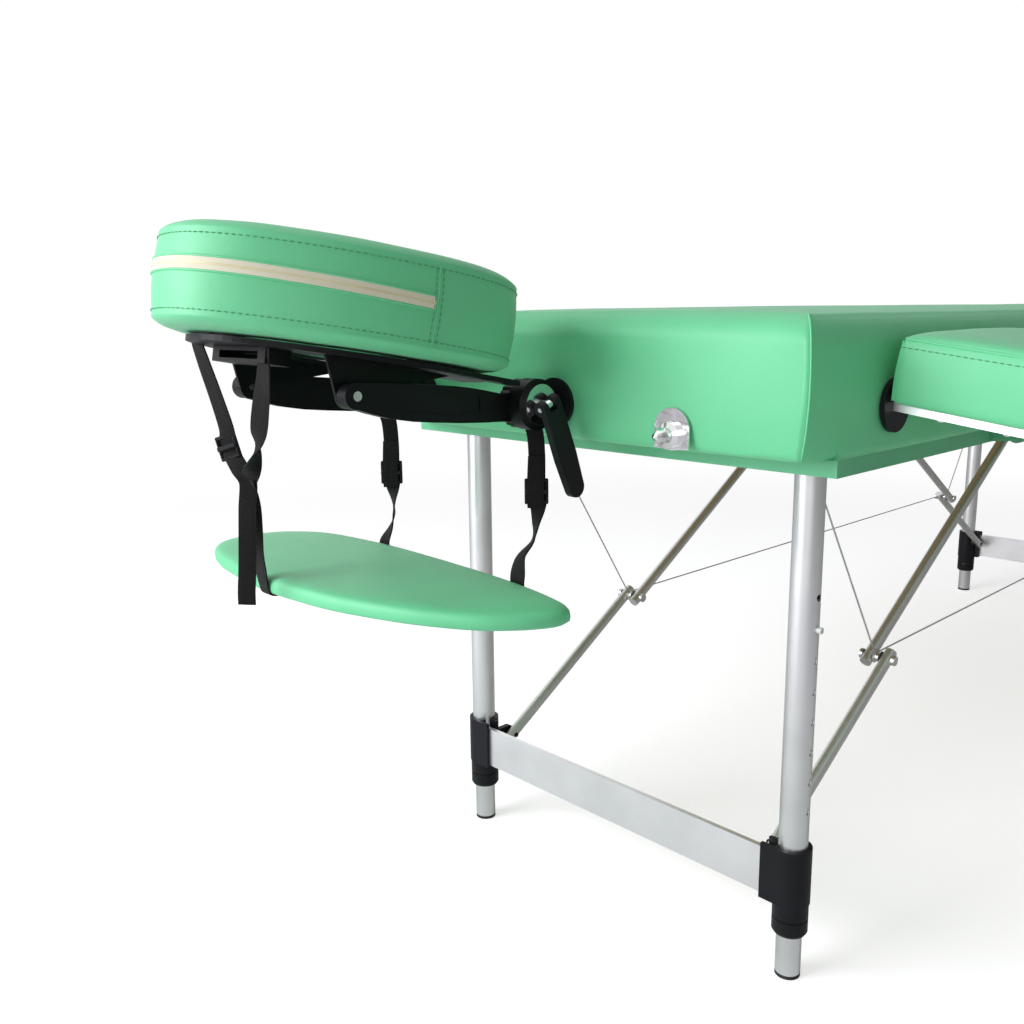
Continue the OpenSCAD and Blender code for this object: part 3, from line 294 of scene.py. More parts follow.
def make_materials():
    MATS.update(
        vinyl=vinyl("vinyl_green", GREEN),
        # The rail cover is the same vinyl as the cushions, only darker: painted shade for the rails under the
        # cushion's overhang.
        rail=vinyl("vinyl_rail", srgb(96, 184, 136), 0.8, 0.5),
        grip=vinyl("vinyl_grip", srgb(84, 166, 122), 1.2, 0.5),
        plywood=wood("birch_ply", srgb(205, 172, 122)),
        alloy=metal("alloy_tube", ALLOY, 0.34, (1, 1, 0.02), 0.2),
        alloy_flat=metal("alloy_flat", (0.92, 0.92, 0.93, 1), 0.36, (0.02, 1, 1), 0.2),
        brace=metal("alloy_brace", (0.66, 0.67, 0.65, 1), 0.42, (1, 0.05, 0.05), 0.2),
        zinc=metal("zinc_steel", (0.62, 0.62, 0.61, 1), 0.32, (1, 1, 1), 0.0, 0.3),
        chrome=metal("chrome", (0.80, 0.80, 0.81, 1), 0.14, (1, 1, 1)),
        black=plastic("black_plastic", srgb(22, 23, 26), 0.42, 0.2),
        grey=plastic("grey_nylon", srgb(17, 18, 20), 0.40, 0.3, 700, 0.15),
        painted=plastic("black_paint", srgb(13, 14, 15), 0.34, 0.08, 300, 0.15),
        white=plastic("white_plastic", srgb(225, 226, 224), 0.3, 0.05, 900, 0.5),
        rubber=rubber("tip_rubber", srgb(38, 39, 40)),
        webbing=webbing("webbing", srgb(22, 22, 21)),
        cable=metal("cable_strand", (0.60, 0.60, 0.60, 1), 0.32, (1, 1, 1)),
        zip_tape=fabric("zip_tape", srgb(244, 238, 214), 520),
        zip_teeth=plastic("zip_teeth", srgb(222, 214, 176), 0.45, 0.1, 900, 0.3),
        thread=fabric("thread", srgb(84, 172, 124), 900),
    )


def fabric(name, base, scale):
    m = Mat(name, Specular_IOR_Level=0.25, Sheen_Weight=0.2)
    v = m.coords()
    a = m.node("TexWave", Scale=scale, Distortion=0.5, bands_direction="X")
    b = m.node("TexWave", Scale=scale, Distortion=0.5, bands_direction="Z")
    m.link(v, a.inputs["Vector"])
    m.link(v, b.inputs["Vector"])
    h = m.math("MULTIPLY", a.outputs["Fac"], b.outputs["Fac"])
    # Colour follows the weave height: painted shade in the gaps between the threads.
    m.color(m.mix(m.ramp(h, [(0.1, 0.0), (0.8, 1.0)]), shade(base, 0.8), shade(base, 1.05)))
    m.roughness(m.math("ADD", m.math("MULTIPLY", h, 0.1), 0.7))
    m.normal(m.bump(h, 0.4, 0.0004))
    return m.m


NODE_MATS = {
    # The frame rails get the darker vinyl copy, whose darkness is painted shade.
    "rail": "head_frame foot_frame",
    "plywood": "head_deck foot_deck",
    "zinc": "head_mounts foot_mounts fold_hinges fold_leaves fold_pins head_knees foot_knees",
    "black": "cradle_sockets side_sockets head_joiners foot_joiners shelf_buckles clamp_lever",
    "chrome": "latch_stud latch_hook clamp_rod arm_rivets",
    "grip": "head_handle foot_handle",
    "alloy": "head_legs foot_legs inner_leg_hr inner_leg_hl inner_leg_fr inner_leg_fl cradle_pegs",
    "alloy_flat": "head_crossbar foot_crossbar right_armrest_bars left_armrest_bars",
    "brace": "head_upper_braces head_lower_braces foot_upper_braces foot_lower_braces",
    "white": "button_hr button_hl button_fr button_fl",
    "rubber": "foot_tip_hr foot_tip_hl foot_tip_fr foot_tip_fl",
    "grey": "cradle_hubs cradle_arms rest_plate",
    "painted": "rest_brackets",
    "vinyl": "head_pad foot_pad rest_cushion shelf_board right_armrest_pad left_armrest_pad",
    "webbing": "shelf_straps",
    "cable": "right_cable left_cable",
}


def dress_nodes():
    for mat, names in NODE_MATS.items():
        for n in names.split():
            o = nodes[n]
            if not o.material_slots:
                o.data.materials.append(MATS[mat])
            for s in o.material_slots:
                s.material = MATS[mat]


# Mesh helpers

def add_mesh(name, verts, faces, mat, smooth=True):
    me = bpy.data.meshes.new(name)
    me.from_pydata([tuple(v) for v in verts], [], faces)
    me.validate()
    me.update()
    bm = bmesh.new()
    bm.from_mesh(me)
    bmesh.ops.remove_doubles(bm, verts=bm.verts, dist=1e-6)
    bmesh.ops.recalc_face_normals(bm, faces=bm.faces)
    bm.to_mesh(me)
    bm.free()
    if smooth:
        me.shade_smooth()
    o = bpy.data.objects.new(name, me)
    scene.collection.objects.link(o)
    me.materials.append(MATS[mat])
    return o


def subdivide(o, levels=1):
    mod = o.modifiers.new("subdivision", "SUBSURF")
    mod.levels = levels
    mod.render_levels = levels


def frames(path, up=Vector((0, 0, 1)), closed=False):
    """Point, tangent, side and normal along a path, turned as little as possible."""
    n = len(path)
    out = []
    side = None
    for i, p in enumerate(path):
        a = path[(i - 1) % n] if closed or i else path[0]
        b = path[(i + 1) % n] if closed or i < n - 1 else path[-1]
        t = (b - a).normalized()
        if side is None:
            s = t.cross(up)
            if s.length < 1e-4:
                s = t.cross(Vector((1, 0, 0)))
            side = s.normalized()
        else:
            side = (side - side.dot(t) * t).normalized()
        out.append((p, t, side, side.cross(t).normalized()))
    return out


def tube(name, path, radius, mat, sides=12, closed=False, body=None):
    rs = radius if callable(radius) else (lambda u: radius)
    fr = frames(path, closed=closed)
    verts, faces = [], []
    n = len(fr)
    for i, (p, t, s, u) in enumerate(fr):
        r = rs(i / max(1, n - 1))
        for k in range(sides):
            a = 2 * math.pi * k / sides
            verts.append(p + r * (s * math.cos(a) + u * math.sin(a)))
    m = n if closed else n - 1
    for i in range(m):
        for k in range(sides):
            a, b = i * sides + k, i * sides + (k + 1) % sides
            c, d = ((i + 1) % n) * sides + (k + 1) % sides, ((i + 1) % n) * sides + k
            faces.append((a, b, c, d))
    if not closed:
        faces.append(tuple(range(sides - 1, -1, -1)))
        faces.append(tuple((n - 1) * sides + k for k in range(sides)))
    o = add_mesh(name, verts, faces, mat)
    if body:
        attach(o, body)
    return o


def resample(path, step, closed=False):
    pts = list(path) + ([path[0]] if closed else [])
    d = [0]
    for a, b in zip(pts, pts[1:]):
        d.append(d[-1] + (b - a).length)
    n = max(2, round(d[-1] / step))
    out = []
    j = 0
    for i in range(n if closed else n + 1):
        s = d[-1] * i / n
        while j < len(d) - 2 and d[j + 1] < s:
            j += 1
        w = (s - d[j]) / max(1e-9, d[j + 1] - d[j])
        out.append(pts[j].lerp(pts[j + 1], w))
    return out


def smooth_path(points, per=8, closed=False):
    """Catmull-Rom curve through the points."""
    n = len(points)
    out = []
    spans = n if closed else n - 1
    for i in range(spans):
        if closed:
            p0, p1, p2, p3 = (points[(i + k - 1) % n] for k in range(4))
        else:
            p1, p2 = points[i], points[i + 1]
            p0 = points[i - 1] if i else 2 * p1 - p2
            p3 = points[i + 2] if i + 2 < n else 2 * p2 - p1
        for k in range(per):
            t = k / per
            out.append(0.5 * ((2 * p1) + (p2 - p0) * t + (2 * p0 - 5 * p1 + 4 * p2 - p3) * t * t
                              + (3 * p1 - p0 - 3 * p2 + p3) * t ** 3))
    if not closed:
        out.append(points[-1])
    return out


def stitches(name, path, normals, mat, length=0.0042, gap=0.0018, r=0.00045, lift=0.0001, body=None):
    """A row of separate thread stitches that lie on a surface along a path."""
    pts = resample(path, 0.001)
    total = len(pts)
    verts, faces = [], []
    i = 0
    step = max(1, round((length + gap) / 0.001))
    ln = max(2, round(length / 0.001))
    sides = 6
    while i + ln < total:
        seg = pts[i:i + ln + 1:max(1, ln // 4)]
        nrm = normals(i / total)
        base = len(verts)
        m = len(seg)
        for j, p in enumerate(seg):
            u = j / (m - 1)
            h = lift + r * (1.1 * math.sin(math.pi * u) - 0.35)
            t = (seg[min(j + 1, m - 1)] - seg[max(j - 1, 0)]).normalized()
            s = t.cross(nrm).normalized()
            rr = r * (0.55 + 0.45 * math.sin(math.pi * u))
            for k in range(sides):
                a = 2 * math.pi * k / sides
                verts.append(p + nrm * (h + rr * math.sin(a)) + s * rr * math.cos(a))
        for j in range(m - 1):
            for k in range(sides):
                a, b = base + j * sides + k, base + j * sides + (k + 1) % sides
                faces.append((a, b, b + sides, a + sides))
        faces.append(tuple(base + k for k in range(sides)))
        faces.append(tuple(base + (m - 1) * sides + k for k in range(sides - 1, -1, -1)))
        i += step
    o = add_mesh(name, verts, faces, mat)
    if body:
        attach(o, body)


# Padded halves of the top, in millimetres
# Cushion: half width, length of one half, lower and upper height
# Hollow in its underside: half width, its two ends, its ceiling
# Radii of the upper edge, the lower edge and the upright corners

PAD_A, PAD_Y1, PAD_Z0, PAD_Z1 = 300.0, 898.0, 556.0, 686.0
CAV_X, CAV_Y0, CAV_Y1, CAV_Z = 291.3, 49.7, 892.3, 626.3
R_TOP, R_LOW, R_CORNER = 26.0, 8.0, 9.0


def arc_top(t):
    """Inset and drop of the upper edge at 0..1 from mid edge to the flat top."""
    a = math.radians(45 + 45 * t)
    return R_TOP * (1 - math.cos(a)), R_TOP * (1 - math.sin(a))


def pad_point(x, y, z):
    """Maps a point of the plain box round the half cushion to its upholstered surface."""
    dx, dy0, dy1 = PAD_A - abs(x), y, PAD_Y1 - y
    top = z >= PAD_Z1 - 1e-6
    side = dx < 1e-6 or dy0 < 1e-6 or dy1 < 1e-6
    dy = min(dy0, dy1)
    q = min(dx, dy)
    h = z
    if side:
        if z > PAD_Z1 - R_TOP:
            a = math.radians(45 * (z - PAD_Z1 + R_TOP) / R_TOP)
            e = R_TOP * (1 - math.cos(a))
            h = PAD_Z1 - R_TOP + R_TOP * math.sin(a)
        elif z < PAD_Z0 + R_LOW:
            a = math.radians(45 * (1 - (z - PAD_Z0) / R_LOW))
            e = R_LOW * (1 - math.cos(a))
            h = PAD_Z0 + R_LOW * (1 - math.sin(a))
        else:
            e = 0
        f = lambda d: d + e * max(0, 1 - d / R_TOP)
    elif top:
        if q < R_TOP:
            e, drop = arc_top(q / R_TOP)
            h = PAD_Z1 - drop
        else:
            e = q
            h = PAD_Z1
        f = lambda d: arc_top(d / R_TOP)[0] if d < R_TOP else d
    else:
        if q < R_LOW:
            a = math.radians(45 + 45 * q / R_LOW)
            e = R_LOW * (1 - math.cos(a))
            h = PAD_Z0 + R_LOW * (1 - math.sin(a))
            f = lambda d: (R_LOW * (1 - math.cos(math.radians(45 + 45 * d / R_LOW))) if d < R_LOW else d)
        else:
            e, h = q, z
            f = lambda d: d
    ex, ey = f(dx), f(dy)
    rc = max(0.0, R_CORNER - 0.5 * min(e, R_CORNER * 2))
    if rc > 0.2:
        px, py = max(0, e + rc - ex), max(0, e + rc - ey)
        if px > 0 and py > 0:
            k = max(px, py) / math.hypot(px, py)
            ex, ey = e + rc - px * k, e + rc - py * k
    X = math.copysign(PAD_A - ex, x) if abs(x) > 1e-9 else 0.0
    Y = ey if dy0 < dy1 else PAD_Y1 - ey
    return X, Y, h, q


def pad_shape(X, Y, h, q, seed):
    """Crown, pillowed sides, drawn-in lower edge and slight unevenness."""
    sx = abs(X) / PAD_A
    up = (h - PAD_Z0) / (PAD_Z1 - PAD_Z0)
    if h > PAD_Z1 - 1.0:
        h += 4.0 * min(1, q / 150) ** 0.6
    near = math.exp(-(Y / 75.0) ** 1.3)
    far = math.exp(-((PAD_Y1 - Y) / 40.0) ** 1.3)
    # The long edges and the outer corners lie lower than the middle
    h -= (6.0 * sx ** 3 + 4.0 * sx ** 24 * math.exp(-(Y / 40.0) ** 2)) * up * up
    edge = sx ** 8
    mid = max(0.0, 1 - (2 * up - 1) ** 2)
    pull = 16 * near + 5 * far
    lowish = max(0.0, 1 - up / 0.45) ** 2
    X -= math.copysign(edge * (pull + 8 * near * lowish * (Y < 49)), X)
    X += math.copysign(edge * 2.0 * mid, X)
    ends = max(0.0, 1 - Y / 60.0)
    Y += ends * (7.0 * sx ** 4 + 6.0 * lowish - 2.0 * mid * (1 - sx ** 4))
    p = Vector((X, Y, h)) / 95.0 + Vector((seed, 0, 0))
    wob = noise.noise(p) * 1.2 + noise.noise(p * 3.1) * 0.4
    if up < 0.999 and q < 1:
        if sx > 0.97:
            X += math.copysign(wob, X)
        elif Y < 40:
            Y -= wob
        h += 0.7 * lowish * math.sin(Y / 11.0 + X / 13.0)
    elif up >= 0.9:
        h += wob * 0.5
    if seed and up < 0.8:
        # The latch hook turns just off the foot end
        Y = max(Y, 0.4)
    return X, Y, h


def grid_lines(total, near, far, step):
    """Grid positions: given ones from both ends, and even steps of about the given size between them."""
    out = sorted(set(near + [total - f for f in far]))
    lo, hi = max(near), total - max(far)
    n = max(1, round((hi - lo) / step))
    out += [lo + (hi - lo) * i / n for i in range(1, n)]
    return sorted(out)


def seam_radius(u):
    """The welt of a corner seam, thinner where it runs out on the top."""
    return 0.0011 if u < 0.85 else 0.0011 * max(0.2, (1 - u) / 0.15)


def onto_hollow(x):
    """Moves the grid line just outside each long side of the hollow onto that side."""
    return math.copysign(CAV_X, x) if abs(abs(x) - 291.7) < 0.05 else x


def make_pad(name, node, place, body, seed):
    """One half's cushion: a grid over the plain box, mapped to its soft shape, with the hollow underneath."""
    edge = [0, 1.6, 3.2, 5, 8.3, 9.1, 11, 15, 19, 23, 26, 31, 38, 50, 66, 88]
    xs = [onto_hollow(v - PAD_A) for v in grid_lines(2 * PAD_A, edge, edge, 30)]
    outer = [0, 1.6, 3.2, 5, 8, 11, 15, 19, 23, 26, 32, 40, CAV_Y0, CAV_Y0 + 0.6, 62, 78, 100]
    wall = PAD_Y1 - CAV_Y1
    fold_side = [0, 1.6, 3.2, wall, wall + 0.6, 8, 11, 15, 19, 23, 26, 32, 42, 60, 84]
    ys = grid_lines(PAD_Y1, outer, fold_side, 26)
    rises = (0, 1.6, 3.2, 5, 8, 13, 20, 30, 42, 55, 68, 80, 92,
             104, 107, 110, 113, 116, 119, 122, 125, 127.5, 130)
    zs = [PAD_Z0 + d for d in rises]
    cx = lambda v: abs(v) < CAV_X - 0.01
    index, verts, faces = {}, [], []

    def vert(i, j, k):
        key = (i, j, k)
        if key not in index:
            x, y, z = xs[i], ys[j], zs[k]
            if k == 0 and cx(x) and CAV_Y0 + 0.01 < y < CAV_Y1 - 0.01:
                X, Y, h = x, y, CAV_Z
            else:
                X, Y, h, q = pad_point(x, y, z)
                X, Y, h = pad_shape(X, Y, h, q, seed)
                if k == 0 and abs(x) <= CAV_X + 0.01 and CAV_Y0 - 0.01 <= y <= CAV_Y1 + 0.01:
                    X, Y, h = x, y, PAD_Z0
            index[key] = len(verts)
            verts.append(place(X, Y, h))
        return index[key]

    nx, ny, nz = len(xs) - 1, len(ys) - 1, len(zs) - 1
    for i in range(nx):
        for j in range(ny):
            for k in (0, nz):
                faces.append((vert(i, j, k), vert(i + 1, j, k), vert(i + 1, j + 1, k), vert(i, j + 1, k)))
        for k in range(nz):
            for j in (0, ny):
                faces.append((vert(i, j, k), vert(i + 1, j, k), vert(i + 1, j, k + 1), vert(i, j, k + 1)))
    for j in range(ny):
        for k in range(nz):
            for i in (0, nx):
                faces.append((vert(i, j, k), vert(i, j + 1, k), vert(i, j + 1, k + 1), vert(i, j, k + 1)))
    o = add_mesh(name, verts, faces, "vinyl")
    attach(o, body)
    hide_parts(node)
    # Corner seams: up the corner and a short way over the top
    for s, tag in ((-1, "left"), (1, "right")):
        for y0, near in ((0, "outer"), (PAD_Y1, "fold")):
            path = []
            for z in zs:
                X, Y, h, q = pad_point(s * PAD_A, y0, z)
                X, Y, h = pad_shape(X, Y, h, q, seed)
                path.append(place(X, Y, h))
            for d in (2, 4, 7, 10, 14, 18, 22, 26, 31, 36):
                yy = d if y0 == 0 else PAD_Y1 - d
                X, Y, h, q = pad_point(s * (PAD_A - d), yy, PAD_Z1)
                X, Y, h = pad_shape(X, Y, h, q, seed)
                path.append(place(X, Y, h))
            path = smooth_path(resample(path, 0.008), 3)
            tube(f"{name}_seam_{tag}_{near}", path, seam_radius, "vinyl", 8, body=body)


# Horseshoe head rest cushion, in the plane of the head rest, in millimetres and degrees
# Its middle, tilt, outer width and length, those of the opening, wall height, crown and side bulge

REST = dict(x=-110.0, v=-200.0, z=695.0, tilt=10.5, w=292.0, l=328.0, hw=116.0, hl=150.0,
            wall=72.0, crown=10.0, bulge=3.0)


def spow(c, e):
    return math.copysign(abs(c) ** e, c)


def egg(a, w, l):
    e = 2 / 2.25
    c, s = spow(math.cos(a), e), spow(math.sin(a), e)
    return Vector((s * w / 2 * (1 + 0.27 * c), c * l / 2))


def rest_place(px, py, pz):
    t = math.radians(REST["tilt"])
    return head(REST["x"] + px, REST["v"] + py * math.cos(t) + pz * math.sin(t),
                REST["z"] - py * math.sin(t) + pz * math.cos(t))


def rest_profile():
    """Closed section of the cushion, outer wall first: share across -1..1, height, bulge off the wall."""
    w, cr = REST["wall"] / 2, REST["crown"]
    pts = []
    n = 10
    for i in range(n + 1):
        t = -1 + 2 * i / n
        pts.append((1.0, t * w, REST["bulge"] * (1 - t * t)))
    pts.append((1.0, w + 0.8, -1.6))
    for i in range(1, 14):
        u = 1 - 2 * i / 14
        pts.append((u, w + 1.5 + cr * (1 - abs(u) ** 2.6) ** 0.5, 0.0))
    pts.append((-1.0, w + 0.8, -1.6))
    for i in range(n + 1):
        t = 1 - 2 * i / n
        pts.append((-1.0, t * w, 2.0 * (1 - t * t)))
    pts.append((-1.0, -w - 0.8, -1.6))
    for i in range(1, 14):
        u = -1 + 2 * i / 14
        pts.append((u, -w - 1.5 - 0.8 * cr * (1 - abs(u) ** 2.6) ** 0.5, 0.0))
    pts.append((1.0, -w - 0.8, -1.6))
    return pts


def make_rest_cushion():
    gap, end = math.radians(17), math.radians(9)
    prof = rest_profile()
    rings = []
    turns = 84
    stations = []
    shares = (0.12, 0.35, 0.6, 0.8, 0.94)
    for s in shares:
        stations.append((gap + end - end * math.sqrt(1 - s * s), s))
    for i in range(turns + 1):
        stations.append((gap + end + i * (2 * math.pi - 2 * (gap + end)) / turns, 1.0))
    for s in reversed(shares):
        stations.append((2 * math.pi - gap - end + end * math.sqrt(1 - s * s), s))
    for a, g in stations:
        o, i = egg(a, REST["w"], REST["l"]), egg(a, REST["hw"], REST["hl"])
        m, h = (o + i) / 2, (o - i) / 2
        out = h.normalized()
        ring = []
        for u, z, b in prof:
            k = 0.35 + 0.65 * g
            d = m + h * (u * g) + out * (math.copysign(b, u) * g if abs(u) == 1 else 0)
            wob = 0.5 * noise.noise(Vector((d.x, d.y, z)) / 40.0)
            d = d + out * (wob if abs(u) == 1 else 0)
            ring.append(rest_place(d.x, d.y, z * k + (wob if abs(u) < 1 else 0)))
        rings.append(ring)
    n = len(prof)
    verts = [p for r in rings for p in r]
    faces = []
    for j in range(len(rings) - 1):
        for i in range(n):
            k = (i + 1) % n
            faces.append((j * n + i, j * n + k, (j + 1) * n + k, (j + 1) * n + i))
    faces.append(tuple(range(n)))
    faces.append(tuple((len(rings) - 1) * n + i for i in range(n)))
    o = add_mesh("rest_cushion_cover", verts, faces, "vinyl")
    subdivide(o)
    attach(o, "head_rest")
    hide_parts("rest_cushion")

    def outer(a, z, off=0.0):
        q, i = egg(a, REST["w"], REST["l"]), egg(a, REST["hw"], REST["hl"])
        out = (q - i).normalized()
        w = REST["wall"] / 2
        b = REST["bulge"] * (1 - (z / w) ** 2) if abs(z) <= w else 0
        d = q + out * (b + off)
        return rest_place(d.x, d.y, z)

    def normal_at(a):
        return (outer(a, 0, 5) - outer(a, 0, 0)).normalized()

    a0, a1 = gap + end, 2 * math.pi - gap - end

    def row(tag, z, off, up=0.0):
        path = [outer(a0 + (a1 - a0) * i / 150, z, off) for i in range(151)]
        lift = rest_place(0, 0, up) - rest_place(0, 0, 0)
        normals = lambda u: (normal_at(a0 + (a1 - a0) * u) + lift).normalized()
        stitches(f"rest_stitch_{tag}", path, normals, "thread", body="head_rest")

    row("top", 39.2, -4.6, up=900)
    row("top_in", 31.5, 0.2)
    row("low_in", -31.5, 0.2)
    # End panels without a zip: an upright seam with one row of stitches on each side of it
    seam = math.radians(87.5)
    for a, tag in ((seam, "near"), (2 * math.pi - seam, "far")):
        line = [outer(a, -34.5 + 69 * i / 24, 0.1) for i in range(25)]
        tube(f"rest_panel_seam_{tag}", line, 0.0007, "vinyl", 8, body="head_rest")
        for m in (-1, 1):
            b = a + m * math.radians(0.9)
            thread_line = [outer(b, -33 + 66 * i / 24, 0.2) for i in range(25)]
            stitches(f"rest_panel_stitch_{tag}_{m + 1}", thread_line, lambda u, b=b: normal_at(b), "thread",
                     body="head_rest")
    # Zip: two tapes and a row of teeth round the outer wall, rising a little towards the outer end
    za, zb = seam + 0.012, 2 * math.pi - seam - 0.012

    def zip_z(a):
        return 1.5 + 5.0 * math.sin(min(1.0, max(0.0, (a - za) / (zb - za))) * math.pi)

    for k, (lo, hi, off, mat) in enumerate(((0.9, 5.4, 0.5, "zip_tape"), (-5.4, -0.9, 0.5, "zip_tape"),
                                            (-1.2, 1.2, 0.9, "zip_teeth"))):
        path_n = 160
        verts, faces = [], []
        for i in range(path_n + 1):
            a = za + (zb - za) * i / path_n
            for z, of in ((lo, off - 0.6), (lo, off), (hi, off), (hi, off - 0.6)):
                verts.append(outer(a, zip_z(a) + z, of))
        for i in range(path_n):
            for j in range(4):
                a, b = i * 4 + j, i * 4 + (j + 1) % 4
                faces.append((a, b, b + 4, a + 4))
        faces += [(0, 1, 2, 3), tuple(path_n * 4 + j for j in (3, 2, 1, 0))]
        z = add_mesh(f"rest_zip_{k}", verts, faces, mat, smooth=False)
        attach(z, "head_rest")
    # Welts where the vinyl folds in beside the zip
    for m in (-1, 1):
        angles = [za + (zb - za) * i / 160 for i in range(161)]
        path = [outer(a, zip_z(a) + m * 6.1, 0.2) for a in angles]
        tube(f"rest_zip_welt_{m + 1}", path, 0.0011, "vinyl", 8, body="head_rest")


# Armrest cushions

def make_armrest(side, name, node, body):
    """Crowned block with slightly bulged sides, on the sloping bars."""
    slope = math.radians(8)
    L, W, T, z0 = 190.0, 250.0, 60.0, 4.3
    x0, y_mid = 8.0, 128.0 + 100.0
    r, r_low, bulge, crown = 7.0, 6.0, 2.0, 8.0
    bars_x, bars_z = 300, 600

    def place(lx, ly, lz):
        wx = bars_x + lx * math.cos(slope) + lz * math.sin(slope)
        wz = bars_z - lx * math.sin(slope) + lz * math.cos(slope)
        return head(side * wx, ly, wz)

    nx, ny, nz = 26, 32, 12
    index, verts, faces = {}, [], []

    def ease(i, n):
        t = i / n
        return 0.5 - 0.5 * math.cos(math.pi * t) * (0.72 + 0.28 * abs(math.cos(math.pi * t)))

    def vert(i, j, k):
        key = (i, j, k)
        if key in index:
            return index[key]
        u, v, w = 2 * ease(i, nx) - 1, 2 * ease(j, ny) - 1, ease(k, nz)
        x, y, z = u * L / 2, v * W / 2, w * T
        cx, cy = max(-L / 2 + r, min(L / 2 - r, x)), max(-W / 2 + r, min(W / 2 - r, y))
        rz = r if w > 0.5 else r_low
        cz = max(r_low, min(T - r, z))
        d = Vector(((x - cx) / r, (y - cy) / r, (z - cz) / rz))
        if d.length > 1e-6:
            m = max(abs(d.x), abs(d.y), abs(d.z))
            d = d * (m / d.length)
            x, y, z = cx + d.x * r, cy + d.y * r, cz + d.z * rz
        su, sv = x / (L / 2), y / (W / 2)
        if w >= 0.99:
            z += crown * max(0, (1 - su ** 4) * (1 - sv ** 4)) ** 0.5
        mid = 1 - (2 * w - 1) ** 2
        if abs(u) > 0.99:
            x += math.copysign(bulge * mid, u)
        if abs(v) > 0.99:
            y += math.copysign(bulge * mid, v)
        wob = 0.8 * noise.noise(Vector((x, y, z)) / 60.0 + Vector((side * 9, 3, 1)))
        index[key] = len(verts)
        verts.append(place(x0 + L / 2 + x, y_mid + y + wob * 0.4, z0 + z + (wob if w > 0.5 else 0)))
        return index[key]

    for i in range(nx):
        for j in range(ny):
            for k in (0, nz):
                faces.append((vert(i, j, k), vert(i + 1, j, k), vert(i + 1, j + 1, k), vert(i, j + 1, k)))
        for k in range(nz):
            for j in (0, ny):
                faces.append((vert(i, j, k), vert(i + 1, j, k), vert(i + 1, j, k + 1), vert(i, j, k + 1)))
    for j in range(ny):
        for k in range(nz):
            for i in (0, nx):
                faces.append((vert(i, j, k), vert(i, j + 1, k), vert(i, j + 1, k + 1), vert(i, j, k + 1)))
    o = add_mesh(name, verts, faces, "vinyl")
    subdivide(o)
    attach(o, body)
    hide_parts(node)

    # Sewn edge: a welt round the top and stitches under it on the four sides
    def side_point(u, z, off):
        """Point at share u of the way round the sides, at height z, off the surface."""
        a, b = L / 2, W / 2
        q = u * 4 % 4
        k, t = int(q), 2 * (q % 1) - 1
        flat = ((a * t, -b), (a, b * t), (-a * t, b), (-a, -b * t))[k]
        out = ((0, -1), (1, 0), (0, 1), (-1, 0))[k]
        cx, cy = max(-a + r, min(a - r, flat[0])), max(-b + r, min(b - r, flat[1]))
        d = Vector((flat[0] - cx, flat[1] - cy))
        if d.length > 1e-6:
            d = d.normalized()
        else:
            d = Vector(out)
        mid = 1 - (2 * z / T - 1) ** 2
        x, y = cx + d.x * (r + bulge * mid + off), cy + d.y * (r + bulge * mid + off)
        return place(x0 + L / 2 + x, y_mid + y, z0 + z)

    def loop(z, off, n=240):
        return [side_point((i + 0.5) / n, z, off) for i in range(n)]

    welt = smooth_path(resample(loop(T - 2.4, -1.5), 0.008, True), 2, True)
    tube(f"{name}_welt", welt, 0.0013, "vinyl", 8, True, body)
    row, rim = loop(T - 9.5, 0.3), loop(T - 9.5, 5.0)

    def away(u):
        k = int(u * 240) % 240
        return (rim[k] - row[k]).normalized()

    stitches(f"{name}_stitch", row, away, "thread", body=body)
    for m, c in ((-1, 0.0), (1, 0.5)):
        line = [side_point(c + 0.0001, 3 + (T - 7) * i / 20, 0.1) for i in range(21)]
        tube(f"{name}_seam_{m + 1}", line, 0.0008, "vinyl", 8, body=body)


# Arm shelf: its outline in plan, as x and distance from the outer end, in millimetres

SHELF = [(-362, -106), (-317, -80), (-217, -68), (-127, -69), (-37, -74), (30, -81), (89, -92), (115, -103),
         (120, -120), (112, -139), (100, -156), (79, -177), (50, -195), (4, -216), (-72, -238), (-139, -246),
         (-200, -247), (-260, -240), (-320, -229), (-365, -208), (-386, -175), (-382, -135)]


def make_shelf():
    """Padded board; z is the height of its middle and t its thickness."""
    z, t = 413.0, 19.0
    line = [Vector((x, y, 0)) for x, y in SHELF]
    rim = resample(smooth_path(line, 8, True), 9.0, True)
    c = sum(rim, Vector()) / len(rim)
    # Section from the middle of the underside, round the edge, to the middle of the top:
    # share of the way outward, and height in halves of the thickness
    rows = [(0.0, -1.0), (0.5, -1.0), (0.86, -1.0), (0.955, -0.97), (0.985, -0.85), (1.0, -0.55),
            (1.004, -0.1), (1.0, 0.3), (0.985, 0.62), (0.955, 0.84), (0.9, 0.97), (0.8, 1.05),
            (0.62, 1.13), (0.4, 1.18), (0.2, 1.2), (0.0, 1.2)]
    verts, faces = [], []
    n = len(rim)
    for s, h in rows:
        for p in rim:
            q = c + (p - c) * max(s, 0.001)
            wob = 0.6 * noise.noise(Vector((q.x, q.y, h * 20)) / 45.0)
            verts.append(head(q.x, q.y, z + h * t / 2 + (wob if 0.2 < s < 1 and h > 0.9 else 0)))
    for j in range(len(rows) - 1):
        for i in range(n):
            k = (i + 1) % n
            faces.append((j * n + i, j * n + k, (j + 1) * n + k, (j + 1) * n + i))
    o = add_mesh("shelf_cushion", verts, faces, "vinyl")
    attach(o, "arm_shelf")
    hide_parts("shelf_board")


# Webbing straps and their buckles

